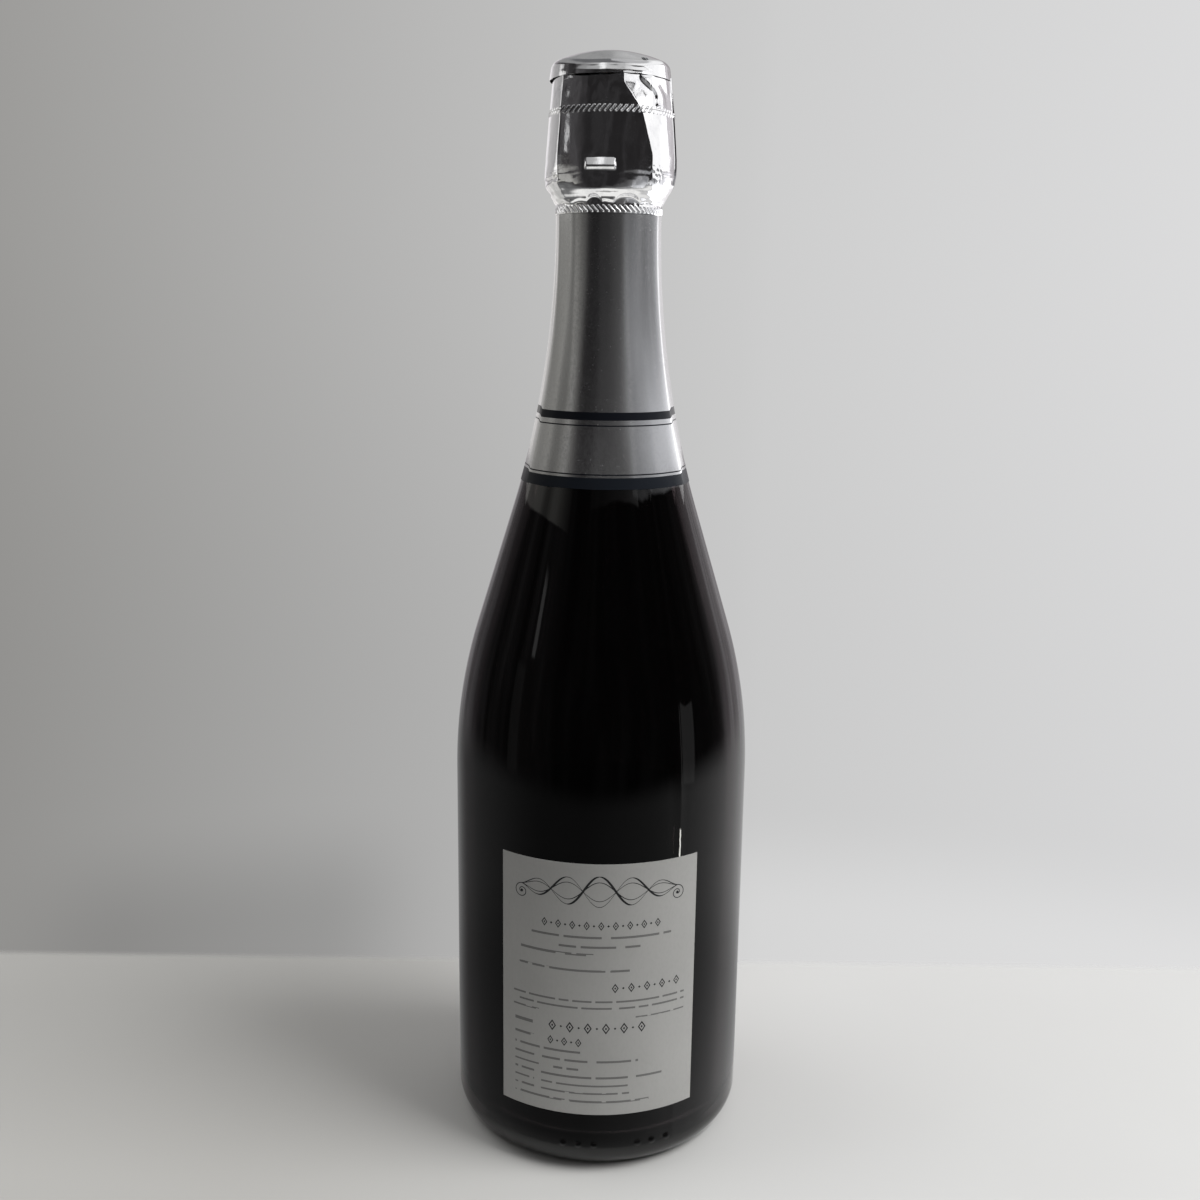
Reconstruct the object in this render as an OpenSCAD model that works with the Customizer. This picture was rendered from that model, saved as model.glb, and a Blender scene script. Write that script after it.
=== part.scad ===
/* [Bottle glass] */
// Height of the glass from the table to the rim of the mouth
glass_h = 300; // [285:1:320]
// Diameter of the straight body
body_d = 88.6; // [84:0.2:92]
// Thickness of the glass wall
wall = 5.2; // [4.4:0.1:5.6]
// Radius of the shoulder's outward curve
shoulder_curve = 154; // [130:1:170]
// Radius of the neck's inward curve
neck_curve = 272; // [240:1:290]
// Lean of the straight stretch between the two curves
shoulder_lean = 17; // [15.5:0.5:19]
// Diameter of the neck below the flange
neck_d = 29.6; // [28.8:0.1:30.6]
// Straight stretch of neck between the inward curve and the flange
neck_straight = 10.9; // [8:0.1:14]
// Radius of the rounded heel
heel_curve = 9; // [7:0.5:11]
// Width of the flat ring that the bottle stands on
foot_ring = 2; // [1.5:0.1:3]
// Depth of the hollow in the underside
punt_depth = 34; // [24:1:40]
// Thickness of the glass floor
floor_t = 8; // [6:0.5:10]
// Radius of the inner corner between floor and wall
inner_heel = 6; // [4:0.5:8]

/* [Mouth] */
// Diameter of the bore at the mouth
bore_d = 17.5; // [17:0.1:18]
// Length of the straight bore
bore_h = 26; // [25:0.5:28]
// Length over which the bore widens into the neck
bore_taper = 12; // [8:0.5:16]
// Diameter of the lip
lip_d = 28.6; // [28:0.1:29.2]
// Height of the lip
lip_h = 4.6; // [4:0.1:5]
// Radius of the lip's rounded edge
lip_curve = 1.6; // [1:0.1:2]
// Chamfer at the rim of the bore
rim_chamfer = 0.6; // [0.3:0.1:1]
// Diameter of the groove between lip and flange
groove_d = 26.6; // [26:0.1:27.4]
// Diameter of the flange that the wire grips under
flange_d = 33.8; // [33.2:0.1:34.4]
// Distance from the rim down to the flange's top
flange_drop = 9.5; // [9:0.1:10]
// Height of the flange's straight side
flange_side = 2.8; // [2.4:0.1:3.2]
// Radius of the flange's rounded edges
flange_curve = 1.2; // [0.8:0.1:1.5]
// Angle of the flange's sloping underside, from level
flange_slope = 44; // [40:1:50]

/* [Cork] */
// Length of cork inside the neck
plug_h = 24; // [22:0.5:24.5]
// Diameter of the mushroom head
head_d = 29; // [28:0.1:29.4]
// Height of the cork's head above the rim
head_h = 14.8; // [14:0.1:16]
// Swelling of the head into the metal cap
crown_h = 2.2; // [1:0.1:2.6]
// Radius of the head's lower edge
head_low_curve = 2; // [1:0.1:3]
// Radius of the head's upper edge
head_top_curve = 2.5; // [1.5:0.1:3.5]
// Thickness of each disc of whole cork
disc_t = 5.5; // [4:0.5:6]
// Clearance around the plug in the bore
plug_fit = 0.05; // [0.02:0.01:0.1]
// Clearance between the head and the rim
head_fit = 0.2; // [0.1:0.05:0.4]

/* [Metal cap] */
// Overhang of the cap's rim past the head
cap_over = 0.4; // [0.3:0.05:0.6]
// Thickness of the cap's sheet
cap_t = 0.2; // [0.15:0.05:0.25]
// Height of the cap's dome
cap_dome_h = 3.6; // [3:0.1:4]
// Diameter of the cap's dome
cap_dome_d = 23; // [21:0.2:23.4]
// Radius of the cap's turned-down edge
cap_curve = 0.9; // [0.6:0.05:1]
// Depth of the cap's turned-down edge below the curve
cap_skirt = 0.6; // [0.3:0.1:0.8]
// Clearance between the cap and the cork
cap_fit = 0.1; // [0.05:0.05:0.2]

/* [Wire cage] */
// Diameter of the wire
wire_d = 0.75; // [0.7:0.01:0.8]
// Gap between the two wires of a twisted pair
pair_gap = 0.13; // [0.12:0.01:0.15]
// Clearance between the wire and what it lies on
wire_fit = 0.05; // [0.03:0.01:0.08]
// Diameter of the top ring, on the centre of its wire
ring_d = 25.2; // [25:0.1:25.6]
// Bend radius where two wires join a leg
root_curve = 1; // [0.8:0.1:1.2]
// Full turns in each twisted leg, besides the last quarter
leg_turns = 3; // [2:1:4]
// Legs around the neck
leg_count = 4; // [3:1:4]
// Direction of the first leg, from the front towards the right
leg_side = -50; // [-90:1:90]
// Radius of the eye at the foot of each leg
foot_eye_r = 0.9; // [0.88:0.01:0.95]
// Distance of the belt wire below the flange's straight side
belt_drop = 4.2; // [4:0.1:4.6]
// Gap between the foot eyes and the neck
foot_gap = 0.12; // [0.1:0.01:0.2]

/* [Twist loop] */
// Direction of the loop, from the front towards the right
loop_side = 85; // [75:1:95]
// Turns in the twisted stem
stem_turns = 2; // [1:1:2]
// Height of the stem's top above the flange's top
stem_rise = 2.3; // [1.8:0.1:2.8]
// Width of the eye on the centre of its wire
eye_w = 6.4; // [5:0.1:8]
// Height of the eye on the centre of its wire
eye_h = 9; // [7:0.1:9.4]
// Height of the bend, where the stem meets the belt's two ends, above the flange's lower corner
bend_rise = 0.6; // [0.4:0.1:1]
// Gap where the stem bends on the belt's ends
bend_gap = 0.15; // [0.1:0.01:0.2]
// Bend radius of the belt's two ends
belt_end_curve = 0.6; // [0.5:0.05:0.7]

/* [Foil] */
// Thickness of the foil
foil_t = 0.12; // [0.08:0.01:0.16]
// Clearance between the foil and what it wraps
foil_fit = 0.06; // [0.05:0.01:0.08]
// Height of the foil on the neck, below the tear strip
neck_foil_h = 74.6; // [60:0.2:78]
// Distance from the rim down to the lower tear line
tear_drop = 24.8; // [22:0.1:26]
// Height of the tear strip
strip_h = 27.1; // [25:0.1:28]
// Gap along a tear line
tear_gap = 0.1; // [0.05:0.01:0.15]
// Gap between the metal cap's dome and the foil disc
crown_gap = 0.2; // [0.1:0.05:0.4]
// Radius of the foil disc's crown
crown_curve = 38.5; // [34:0.5:46]
// Radius of the foil disc's rounded edge
disc_curve = 2.5; // [2.3:0.1:2.6]
// Height of the foil disc's turned-down edge
disc_skirt = 3.3; // [3:0.1:3.6]
// Width that the disc's rolled edge stands out
disc_flare = 0.4; // [0.2:0.05:0.5]
// Height of the disc's rolled edge
disc_flare_h = 0.8; // [0.5:0.1:1]
// Height of foil tucked up inside the disc's edge
disc_tuck = 0.9; // [0.6:0.1:1]

/* [Labels] */
// Thickness of the label paper
label_t = 0.12; // [0.08:0.01:0.2]
// Thickness of the glue under a label
glue_t = 0.05; // [0.02:0.01:0.1]
// Height of the labels' lower edges above the table
label_low = 19.7; // [16:0.1:26]
// Width of the back label around the body
back_label_w = 60; // [40:1:80]
// Height of the back label
back_label_h = 78.2; // [60:0.2:84]
// Width of the front label around the body
front_label_w = 92; // [70:1:120]
// Height of the front label
front_label_h = 78.2; // [60:0.2:84]

/* [Hidden] */

// Steps in a long curve, a small curve and the faces around a turned piece
long_steps = 14;
small_steps = 6;
$fn = 96;
// Sides of a wire, and steps in one turn of a twisted pair, in a sharp bend, around the belt and in the eye
wire_sides = 6;
turn_steps = 8;
bend_steps = 3;
belt_steps = 48;
eye_steps = 24;
// Half the opening of a foot eye, as an angle
eye_open = 50;

// Radii of the glass
body_r = body_d / 2;
neck_r = neck_d / 2;
bore_r = bore_d / 2;
lip_r = lip_d / 2;
groove_r = groove_d / 2;
flange_r = flange_d / 2;
punt_r = body_r - heel_curve - foot_ring;

// Heights of the flange, from its top down to where its underside meets the neck
flange_top = glass_h - flange_drop;
flange_side_low = flange_top - flange_curve - flange_side;
slope_r = flange_r - flange_curve + flange_curve * sin(flange_slope);
slope_top = flange_side_low - flange_curve * cos(flange_slope);
slope_low = slope_top - (slope_r - neck_r) * tan(flange_slope);

// Heights and radii where the curves of the shoulder and the neck begin and end
neck_curve_top = slope_low - neck_straight;
lean_low_r = body_r - shoulder_curve * (1 - cos(shoulder_lean));
lean_top_r = neck_r + neck_curve * (1 - cos(shoulder_lean));
lean_top = neck_curve_top - neck_curve * sin(shoulder_lean);
lean_low = lean_top - (lean_low_r - lean_top_r) / tan(shoulder_lean);
body_top = lean_low - shoulder_curve * sin(shoulder_lean);

// Inside of the glass: foot of the straight bore, lean where its taper ends, and the floor's corner
bore_low = glass_h - bore_h;
taper_lean = asin((neck_curve_top - bore_low + bore_taper) / (neck_curve + wall));
inner_heel_turn = 70;
floor_share = 0.93;

// Cork
plug_r = bore_r - plug_fit;
head_r = head_d / 2;
head_top = glass_h + head_h;
plug_low = glass_h - plug_h;

// Metal cap: the flat ring that the wire lies on is at cap_top
cap_r = head_r + cap_over;
cap_dome_r = cap_dome_d / 2;
cap_low = head_top + cap_fit;
cap_top = cap_low + cap_t;

// Wire: half the spread of a twisted pair, and how far a pair reaches from its middle
wire_r = wire_d / 2;
pair_r = wire_r + pair_gap / 2;
pair_reach = pair_r + wire_r;
ring_r = ring_d / 2;
ring_z = cap_top + wire_fit + wire_r;

// Belt wire, and the knee where a leg turns in under the flange, as [radius, height]
foot_reach = foot_eye_r + wire_r;
belt_at = [neck_r + foot_gap + foot_reach, flange_side_low - belt_drop];
knee = [flange_r + wire_fit + pair_reach, flange_side_low - flange_curve * 3 / 4];
leg_low = [knee[0], flange_top];
edge_r = cap_curve + wire_fit + wire_r;
edge_at = [cap_r - cap_curve, cap_top - cap_curve];
leg_top_drop_share = 2.8;
leg_top = [edge_at[0] + edge_r + wire_r, edge_at[1] - cap_skirt * leg_top_drop_share];
foot_way = unit(belt_at - knee);
leg_end_share = 1.6;
leg_end = belt_at - foot_way * foot_eye_r * leg_end_share;
twist_start_share = 2.4;

// Twist loop: the belt's ends follow a leg's way up to the bend, and the stem goes on from there
bend_low = knee + [0, bend_rise];
stem_low = bend_low + [0, bend_gap];
stem_top = leg_low + [0, stem_rise];

// Foil: crown of the top disc, and the heights of its edges and the tear lines
disc_top = cap_top + cap_dome_h + crown_gap + foil_t;
disc_lean = asin((edge_at[0] + wire_r) / crown_curve);
disc_edge_at = [0, disc_top - crown_curve]
    + (crown_curve - disc_curve) * [sin(disc_lean), cos(disc_lean)];
disc_edge_lean_share = 0.88;
disc_skirt_top = disc_edge_at + disc_curve * turn_to(90 * (1 - disc_edge_lean_share));
disc_low = disc_skirt_top[1] - disc_skirt;
disc_low_r = pair_reach + leg_r(disc_low + disc_flare_h) + foil_fit * 2 + foil_t * 2;
tear_low = glass_h - tear_drop;
tear_high = tear_low + strip_h;
neck_foil_low = tear_low - neck_foil_h;

// A step from the origin at an angle from level
function turn_to(angle) = [cos(angle), sin(angle)];
function unit(v) = v / norm(v);

// Points of a circle's arc from one angle to another
function arc(centre, radius, from, to, steps) =
    [for (i = [0:steps]) centre + radius * turn_to(from + (to - from) * i / steps)];

// Radius of the glass at a height between the heel and the flange
function glass_r(z) =
    z < body_top ? body_r
    : z < lean_low ? body_r - shoulder_curve + sqrt(pow(shoulder_curve, 2) - pow(z - body_top, 2))
    : z < lean_top ? lean_low_r - (z - lean_low) * tan(shoulder_lean)
    : z < neck_curve_top ? neck_r + neck_curve - sqrt(pow(neck_curve, 2) - pow(neck_curve_top - z, 2))
    : neck_r;

// Radius of the middle of a leg at a height between the flange and the metal cap
function leg_r(z) =
    z < leg_low[1] ? leg_low[0]
    : leg_low[0] + (leg_top[0] - leg_low[0]) * (z - leg_low[1]) / (leg_top[1] - leg_low[1]);

// Height of a dome at a radius, as the first quarter of a cosine wave
function dome(height, radius, r) = height * cos(90 * min(r / radius, 1));

// Glass outline: the hollow underside, the outside up to the rim, and the inside down again
function punt_curve() =
    [for (i = [0:long_steps]) [punt_r * i / long_steps, dome(punt_depth, punt_r, punt_r * i / long_steps)]];
function outside_curve() = concat(
    arc([body_r - heel_curve, heel_curve], heel_curve, -90, 0, long_steps),
    arc([body_r - shoulder_curve, body_top], shoulder_curve, 0, shoulder_lean, long_steps),
    arc([neck_r + neck_curve, neck_curve_top], neck_curve, 180 + shoulder_lean, 180, long_steps)
);
function mouth_curve() = concat(
    [[neck_r, slope_low]],
    arc([flange_r - flange_curve, flange_side_low], flange_curve, flange_slope - 90, 0, small_steps),
    arc([flange_r - flange_curve, flange_top - flange_curve], flange_curve, 0, 90, small_steps),
    [[groove_r + flange_curve / 2, flange_top + flange_curve / 2],
     [groove_r, flange_top + flange_curve * 3 / 2],
     [groove_r, glass_h - lip_h - flange_curve / 2]],
    [[lip_r, glass_h - lip_h + flange_curve / 2]],
    arc([lip_r - lip_curve, glass_h - lip_curve], lip_curve, 0, 90, small_steps),
    [[bore_r + rim_chamfer, glass_h], [bore_r, glass_h - rim_chamfer]]
);
function inside_curve() = concat(
    [[bore_r, bore_low]],
    arc([neck_r + neck_curve, neck_curve_top], neck_curve + wall, 180 + taper_lean, 180 + shoulder_lean,
        long_steps),
    arc([body_r - shoulder_curve, body_top], shoulder_curve - wall, shoulder_lean, 0, long_steps),
    arc([body_r - wall - inner_heel, floor_t + inner_heel], inner_heel, 0, -inner_heel_turn, small_steps)
);
function floor_curve() =
    [for (i = [long_steps:-1:0])
        let (r = punt_r * floor_share * i / long_steps) [r, floor_t + dome(punt_depth, punt_r, r)]];

module glass_bottle() {
    color([0.05, 0.08, 0.06])
        rotate_extrude()
            polygon(concat(punt_curve(), outside_curve(), mouth_curve(), inside_curve(), floor_curve()));
}

// Pressed-grain cork: the upper part of the plug and the mushroom head
module cork_body() {
    low = glass_h + head_fit;
    dome_steps = [for (i = [long_steps:-1:0]) cap_dome_r * i / long_steps];
    color([0.78, 0.62, 0.42])
        rotate_extrude()
            polygon(concat(
                [[0, plug_low + disc_t * 2], [plug_r, plug_low + disc_t * 2], [plug_r, low]],
                arc([head_r - head_low_curve, low + head_low_curve], head_low_curve, -90, 0, small_steps),
                arc([head_r - head_top_curve, head_top - head_top_curve], head_top_curve, 0, 90, small_steps),
                [for (r = dome_steps) [r, head_top + dome(crown_h, cap_dome_r, r)]]
            ));
}

// One disc of whole cork at the foot of the plug, counted from the lowest
module cork_disc(place) {
    color([0.72, 0.53, 0.34])
        translate([0, 0, plug_low + disc_t * place])
            cylinder(h = disc_t, r = plug_r);
}

module cork_disc_upper() {
    cork_disc(1);
}

module cork_disc_lower() {
    cork_disc(0);
}

// Sheet cap between cork and wire: a dome, a flat ring for the wire and a turned-down edge
module metal_cap() {
    skirt_z = edge_at[1] - cap_skirt;
    dome_out = [for (i = [0:long_steps]) cap_dome_r * i / long_steps];
    dome_back = [for (i = [long_steps:-1:0]) cap_dome_r * i / long_steps];
    color([0.75, 0.75, 0.77])
        rotate_extrude()
            polygon(concat(
                [for (r = dome_out) [r, cap_low + dome(cap_dome_h, cap_dome_r, r)]],
                arc(edge_at, cap_curve - cap_t, 90, 0, small_steps),
                [[cap_r - cap_t, skirt_z], [cap_r, skirt_z]],
                arc(edge_at, cap_curve, 0, 90, small_steps),
                [for (r = dome_back) [r, cap_top + dome(cap_dome_h, cap_dome_r, r)]]
            ));
}

// A point in space from a direction around the neck, a [radius, height] and a step sideways
function placed(side, at, across) = [
    at[0] * sin(side) + across * cos(side),
    -at[0] * cos(side) + across * sin(side),
    at[1]
];

// A line of points with its corners cut twice
function cut_corners(p) = concat(
    [p[0]],
    [for (i = [0:len(p) - 2]) each [p[i] * 3 / 4 + p[i + 1] / 4, p[i] / 4 + p[i + 1] * 3 / 4]],
    [p[len(p) - 1]]
);
function softened(p) = cut_corners(cut_corners(p));

// Distance along a line of points up to each of them
function distances(p) =
    [for (i = 0, s = 0; i < len(p); s = s + (i + 1 < len(p) ? norm(p[i + 1] - p[i]) : 0), i = i + 1) s];
function along(p, d, s) = [
    lookup(s, [for (i = [0:len(p) - 1]) [d[i], p[i][0]]]),
    lookup(s, [for (i = [0:len(p) - 1]) [d[i], p[i][1]]])
];

// One wire of a twisted pair along a line: straight near both ends and twisted between them
function strand(side, line, turns, from, straight, phase) =
    let (
        d = distances(line),
        total = d[len(d) - 1],
        twisted = total - straight[0] - straight[1],
        near = wire_r,
        before = ceil((straight[0] - from) / (wire_d * 2 / 3)),
        turning = ceil(turns * turn_steps),
        marks = concat(
            [for (i = [0:before]) from + (straight[0] - from) * i / before],
            [for (i = [1:turning]) straight[0] + twisted * i / turning],
            [total]
        )
    )
    [for (s = marks)
        let (
            way = unit(along(line, d, min(s + near, total)) - along(line, d, max(s - near, 0))),
            psi = phase + 360 * turns * min(max((s - straight[0]) / twisted, 0), 1),
            out = [-way[1], way[0]] * pair_r * sin(psi)
        )
        placed(side, along(line, d, s) + out, pair_r * cos(psi))];

function reversed(p) = [for (i = [len(p) - 1:-1:0]) p[i]];

// Frame carried along a line, so that a wire's sides don't twist
function carried(n, t) = unit(n - (n * t) * t);
function first_side(t) = carried(abs(t[2]) < cos(45) ? [0, 0, 1] : [1, 0, 0], t);
function frames(t) =
    [for (i = 0, n = first_side(t[0]); i < len(t); i = i + 1, n = carried(n, t[min(i, len(t) - 1)])) n];

function wire_points(p, t, n, spin) =
    [for (i = [0:len(p) - 1], j = [0:wire_sides - 1])
        let (a = 360 * j / wire_sides + spin * i / len(p))
        p[i] + wire_r * (n[i] * cos(a) + cross(t[i], n[i]) * sin(a))];
function wire_sides_between(i, k) =
    [for (j = [0:wire_sides - 1])
        let (j2 = (j + 1) % wire_sides)
        each [
            [i * wire_sides + j, k * wire_sides + j, k * wire_sides + j2],
            [i * wire_sides + j, k * wire_sides + j2, i * wire_sides + j2]
        ]];

// A wire with two ends along a line of points
module open_wire(p) {
    last = len(p) - 1;
    t = [for (i = [0:last]) unit(p[min(i + 1, last)] - p[max(i - 1, 0)])];
    n = frames(t);
    polyhedron(
        points = wire_points(p, t, n, 0),
        faces = concat(
            [for (i = [0:last - 1]) each wire_sides_between(i, i + 1)],
            [for (j = [1:wire_sides - 2]) [0, j, j + 1]],
            [for (j = [1:wire_sides - 2]) [last * wire_sides, last * wire_sides + j + 1, last * wire_sides + j]]
        )
    );
}

// A wire whose end runs into its start
module closed_wire(p) {
    count = len(p);
    t = [for (i = [0:count - 1]) unit(p[(i + 1) % count] - p[(i + count - 1) % count])];
    n = frames(t);
    back = carried(n[count - 1], t[0]);
    spin = atan2(cross(back, n[0]) * t[0], back * n[0]);
    polyhedron(
        points = wire_points(p, t, n, spin),
        faces = [for (i = [0:count - 1]) each wire_sides_between(i, (i + 1) % count)]
    );
}

// Middle line of a leg, from the top ring over the metal cap's edge to just above the belt wire
function leg_line() = concat(
    [[ring_r, ring_z]],
    arc(edge_at, edge_r, 90, 0, small_steps),
    softened([[edge_at[0] + edge_r, edge_at[1] - wire_r], leg_top, leg_low, knee, leg_end])
);

// Bend that turns a wire of the top ring out into a leg
function root_bend(side, hand) =
    [for (i = [1:bend_steps - 1])
        let (a = 90 * i / bend_steps)
        placed(side, [ring_r + root_curve * (1 - cos(a)), ring_z],
            hand * (pair_r + root_curve * (1 - sin(a))))];

// Eye that turns round the belt wire at the foot of a leg
function foot_eye(side) =
    [for (i = [0:turn_steps])
        let (a = 360 - eye_open - (360 - eye_open * 2) * i / turn_steps)
        placed(side, belt_at + foot_eye_r * (-cos(a) * foot_way + sin(a) * [-foot_way[1], foot_way[0]]), 0)];

// The cage is one closed wire: ring, down a leg, round the foot eye and up again, for each leg
function cage_leg(side) =
    let (
        line = leg_line(),
        straight = [root_curve + edge_r * twist_start_share, foot_eye_r / 2],
        turns = leg_turns + 1 / 4,
        gap = asin((pair_r + root_curve) / ring_r),
        ring_from = side - 360 / leg_count + gap,
        ring_to = side - gap
    )
    concat(
        [for (i = [0:small_steps])
            placed(ring_from + (ring_to - ring_from) * i / small_steps, [ring_r, ring_z], 0)],
        root_bend(side, -1),
        strand(side, line, turns, root_curve, straight, 180),
        foot_eye(side),
        reversed(strand(side, line, turns, root_curve, straight, 0)),
        reversed(root_bend(side, 1))
    );

module cage_wire() {
    color([0.62, 0.62, 0.64])
        closed_wire([for (k = [0:leg_count - 1]) each cage_leg(leg_side + 360 * k / leg_count)]);
}

// One bent end of the belt wire, from its tip down to the belt, on one side of the twist loop
function belt_tip(hand) = concat(
    [for (p = cut_corners([bend_low, knee, belt_at - foot_way * belt_end_curve]))
        placed(loop_side, p, hand * pair_r)],
    [for (i = [bend_steps - 1:-1:1])
        let (a = 90 * i / bend_steps)
        placed(loop_side, belt_at - foot_way * belt_end_curve * (1 - cos(a)),
            hand * (pair_r + belt_end_curve * (1 - sin(a))))]
);

// Belt wire: through the four foot eyes, with both ends bent up together at the twist loop
module belt_wire() {
    gap = asin((pair_r + belt_end_curve) / belt_at[0]);
    color([0.66, 0.66, 0.68])
        open_wire(concat(
            belt_tip(1),
            [for (i = [0:belt_steps])
                placed(loop_side + gap + (360 - gap * 2) * i / belt_steps, belt_at, 0)],
            reversed(belt_tip(-1))
        ));
}

// Eye of the twist loop, lying round the neck between cage and foil
function loop_eye() =
    let (open_at = asin(pair_r * 2 / eye_w))
    [for (i = [1:eye_steps - 1])
        let (
            a = open_at + (360 - open_at * 2) * i / eye_steps,
            z = stem_top[1] + eye_h * (1 - cos(a)) / 2,
            across = eye_w / 2 * sin(a)
        )
        placed(loop_side + across / leg_r(z) * 180 / PI, [leg_r(z), z], 0)];

// Twisted stem and eye that a hand folds out and untwists
module twist_loop() {
    line = softened([stem_low, leg_low, [leg_r(stem_top[1]), stem_top[1]]]);
    straight = [wire_r, wire_r];
    color([0.66, 0.66, 0.68])
        open_wire(concat(
            strand(loop_side, line, stem_turns, 0, straight, 0),
            loop_eye(),
            reversed(strand(loop_side, line, stem_turns, 0, straight, 180))
        ));
}

// Foil disc over the metal cap, with a turned-down, slightly rolled edge; depth is from its outside
function disc_curve_at(depth) = concat(
    arc([0, disc_top - crown_curve], crown_curve - depth, 90, 90 - disc_lean, long_steps),
    arc(disc_edge_at, disc_curve - depth, 90 - disc_lean, 90 * (1 - disc_edge_lean_share), small_steps),
    [[disc_low_r - depth, disc_low + disc_flare_h], [disc_low_r + disc_flare - depth, disc_low]]
);

module foil_top_disc() {
    color([0.80, 0.80, 0.82])
        rotate_extrude()
            polygon(concat(disc_curve_at(0), reversed(disc_curve_at(foil_t))));
}

// Foil around the legs; room is how far it lies outside them
function hood_r(z, room) = leg_r(z) + pair_reach + room;

module foil_hood() {
    low = tear_high + tear_gap / 2;
    high = disc_low + disc_tuck;
    color([0.80, 0.80, 0.82])
        rotate_extrude()
            polygon([
                [hood_r(low, foil_fit), low],
                [hood_r(low, foil_fit + foil_t), low],
                [hood_r(high, foil_fit + foil_t), high],
                [hood_r(high, foil_fit), high]
            ]);
}

// Strip outline from the upper tear line, over the flange and in under the belt, to the lower one
function strip_curve(room) =
    let (
        across = foot_reach - pair_reach,
        tilt = atan2(belt_at[1] - knee[1], belt_at[0] - knee[0]) + 90,
        lean = tilt - asin(across / norm(knee - belt_at)),
        tuck_r = belt_at[0] - neck_r - foil_t - foil_fit,
        tuck_z = belt_at[1] - foot_reach - foil_t - foil_fit - tuck_r
    )
    concat(
        [[hood_r(tear_high - tear_gap / 2, room), tear_high - tear_gap / 2],
         [hood_r(leg_low[1], room), leg_low[1]]],
        arc(knee, pair_reach + room, 0, lean, small_steps),
        arc(belt_at, foot_reach + room, lean, -90, small_steps),
        arc([belt_at[0], tuck_z], tuck_r + foil_t + foil_fit - room, 90, 180, small_steps),
        [[neck_r + room, tear_low + tear_gap / 2]]
    );

module foil_tear_strip() {
    color([0.78, 0.78, 0.80])
        rotate_extrude()
            polygon(concat(strip_curve(foil_fit), reversed(strip_curve(foil_fit + foil_t))));
}

// Foil on the neck, following the glass from below the tear strip to the shoulder
module foil_neck() {
    high = tear_low - tear_gap / 2;
    steps = long_steps * 2;
    heights = [for (i = [0:steps]) neck_foil_low + (high - neck_foil_low) * i / steps];
    color([0.74, 0.74, 0.76])
        rotate_extrude()
            polygon(concat(
                [for (z = heights) [glass_r(z) + foil_fit, z]],
                [for (z = reversed(heights)) [glass_r(z) + foil_fit + foil_t, z]]
            ));
}

// Paper label on the straight body, centred on a direction from the front towards the right
module label(side, width, height) {
    in_r = body_r + glue_t;
    spread = width / (2 * PI * in_r) * 360;
    rotate([0, 0, side - 90 - spread / 2])
        rotate_extrude(angle = spread)
            translate([in_r, label_low])
                square([label_t, height]);
}

module back_label() {
    color([0.66, 0.66, 0.67])
        label(0, back_label_w, back_label_h);
}

module front_label() {
    color([0.66, 0.66, 0.67])
        label(180, front_label_w, front_label_h);
}

glass_bottle();
cork_body();
cork_disc_upper();
cork_disc_lower();
metal_cap();
cage_wire();
belt_wire();
twist_loop();
foil_top_disc();
foil_hood();
foil_tear_strip();
foil_neck();
back_label();
front_label();
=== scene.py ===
"""Looks of the champagne bottle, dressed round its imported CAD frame.

Sizes in the dataclass fields are millimetres and degrees. Meshes are built in metres, in the CAD's own frame:
the table is z = 0, the bottle's axis is x = y = 0, and the back label faces the camera along -y.
A side is an angle round the axis, 0 towards the camera and 90 towards the right hand.
"""

import logging
import math
from collections.abc import Callable, Sequence
from dataclasses import dataclass
from enum import Enum

import bpy
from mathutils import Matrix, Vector, noise


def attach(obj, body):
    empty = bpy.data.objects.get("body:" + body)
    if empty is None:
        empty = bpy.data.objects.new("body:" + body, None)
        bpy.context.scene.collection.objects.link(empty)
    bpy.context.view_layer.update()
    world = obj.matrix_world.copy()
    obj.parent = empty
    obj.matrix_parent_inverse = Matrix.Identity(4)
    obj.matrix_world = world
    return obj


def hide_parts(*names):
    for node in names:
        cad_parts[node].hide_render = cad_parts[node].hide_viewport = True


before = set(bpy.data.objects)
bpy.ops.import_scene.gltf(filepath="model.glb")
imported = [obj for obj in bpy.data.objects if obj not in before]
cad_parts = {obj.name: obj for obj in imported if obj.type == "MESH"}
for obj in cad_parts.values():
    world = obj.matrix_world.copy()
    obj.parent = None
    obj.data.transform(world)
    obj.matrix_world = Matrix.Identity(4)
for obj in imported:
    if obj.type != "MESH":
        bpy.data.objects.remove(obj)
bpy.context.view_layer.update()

MM = 0.001
Point = tuple[float, float]
Trio = tuple[float, float, float]
Line = list[Point]
Rule = Callable[[float, float, float], Trio]
Socket = bpy.types.NodeSocket
Material = bpy.types.Material
WHITE = (1.0, 1.0, 1.0)
BLACK = (0.0, 0.0, 0.0)
log = logging.getLogger("bottle")


class Body(Enum):
    """CAD bodies that pieces ride on."""

    BOTTLE = "bottle"
    CORK = "cork"
    CAGE = "wire_cage"
    LOOP = "loop"
    FOIL = "foil_cover"


class Slot(Enum):
    """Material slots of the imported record."""

    GLASS = "bottle_glass"
    GRAIN = "grain_cork"
    DISC = "disc_cork"
    CAP = "cap_metal"
    WIRE = "galvanised_wire"
    BRIGHT = "bright_foil"
    SATIN = "satin_foil"
    PAPER = "label_paper"


def clamp(value: float) -> float:
    """Hold a value between zero and one."""
    return min(max(value, 0.0), 1.0)


def ease(low: float, high: float, value: float) -> float:
    """Rise smoothly from zero at low to one at high."""
    share = clamp((value - low) / (high - low))
    return share * share * (3 - 2 * share)


def turn_between(side: float, other: float) -> float:
    """Signed angle from one side to another, from -180 to 180."""
    return (side - other + 180) % 360 - 180


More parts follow.
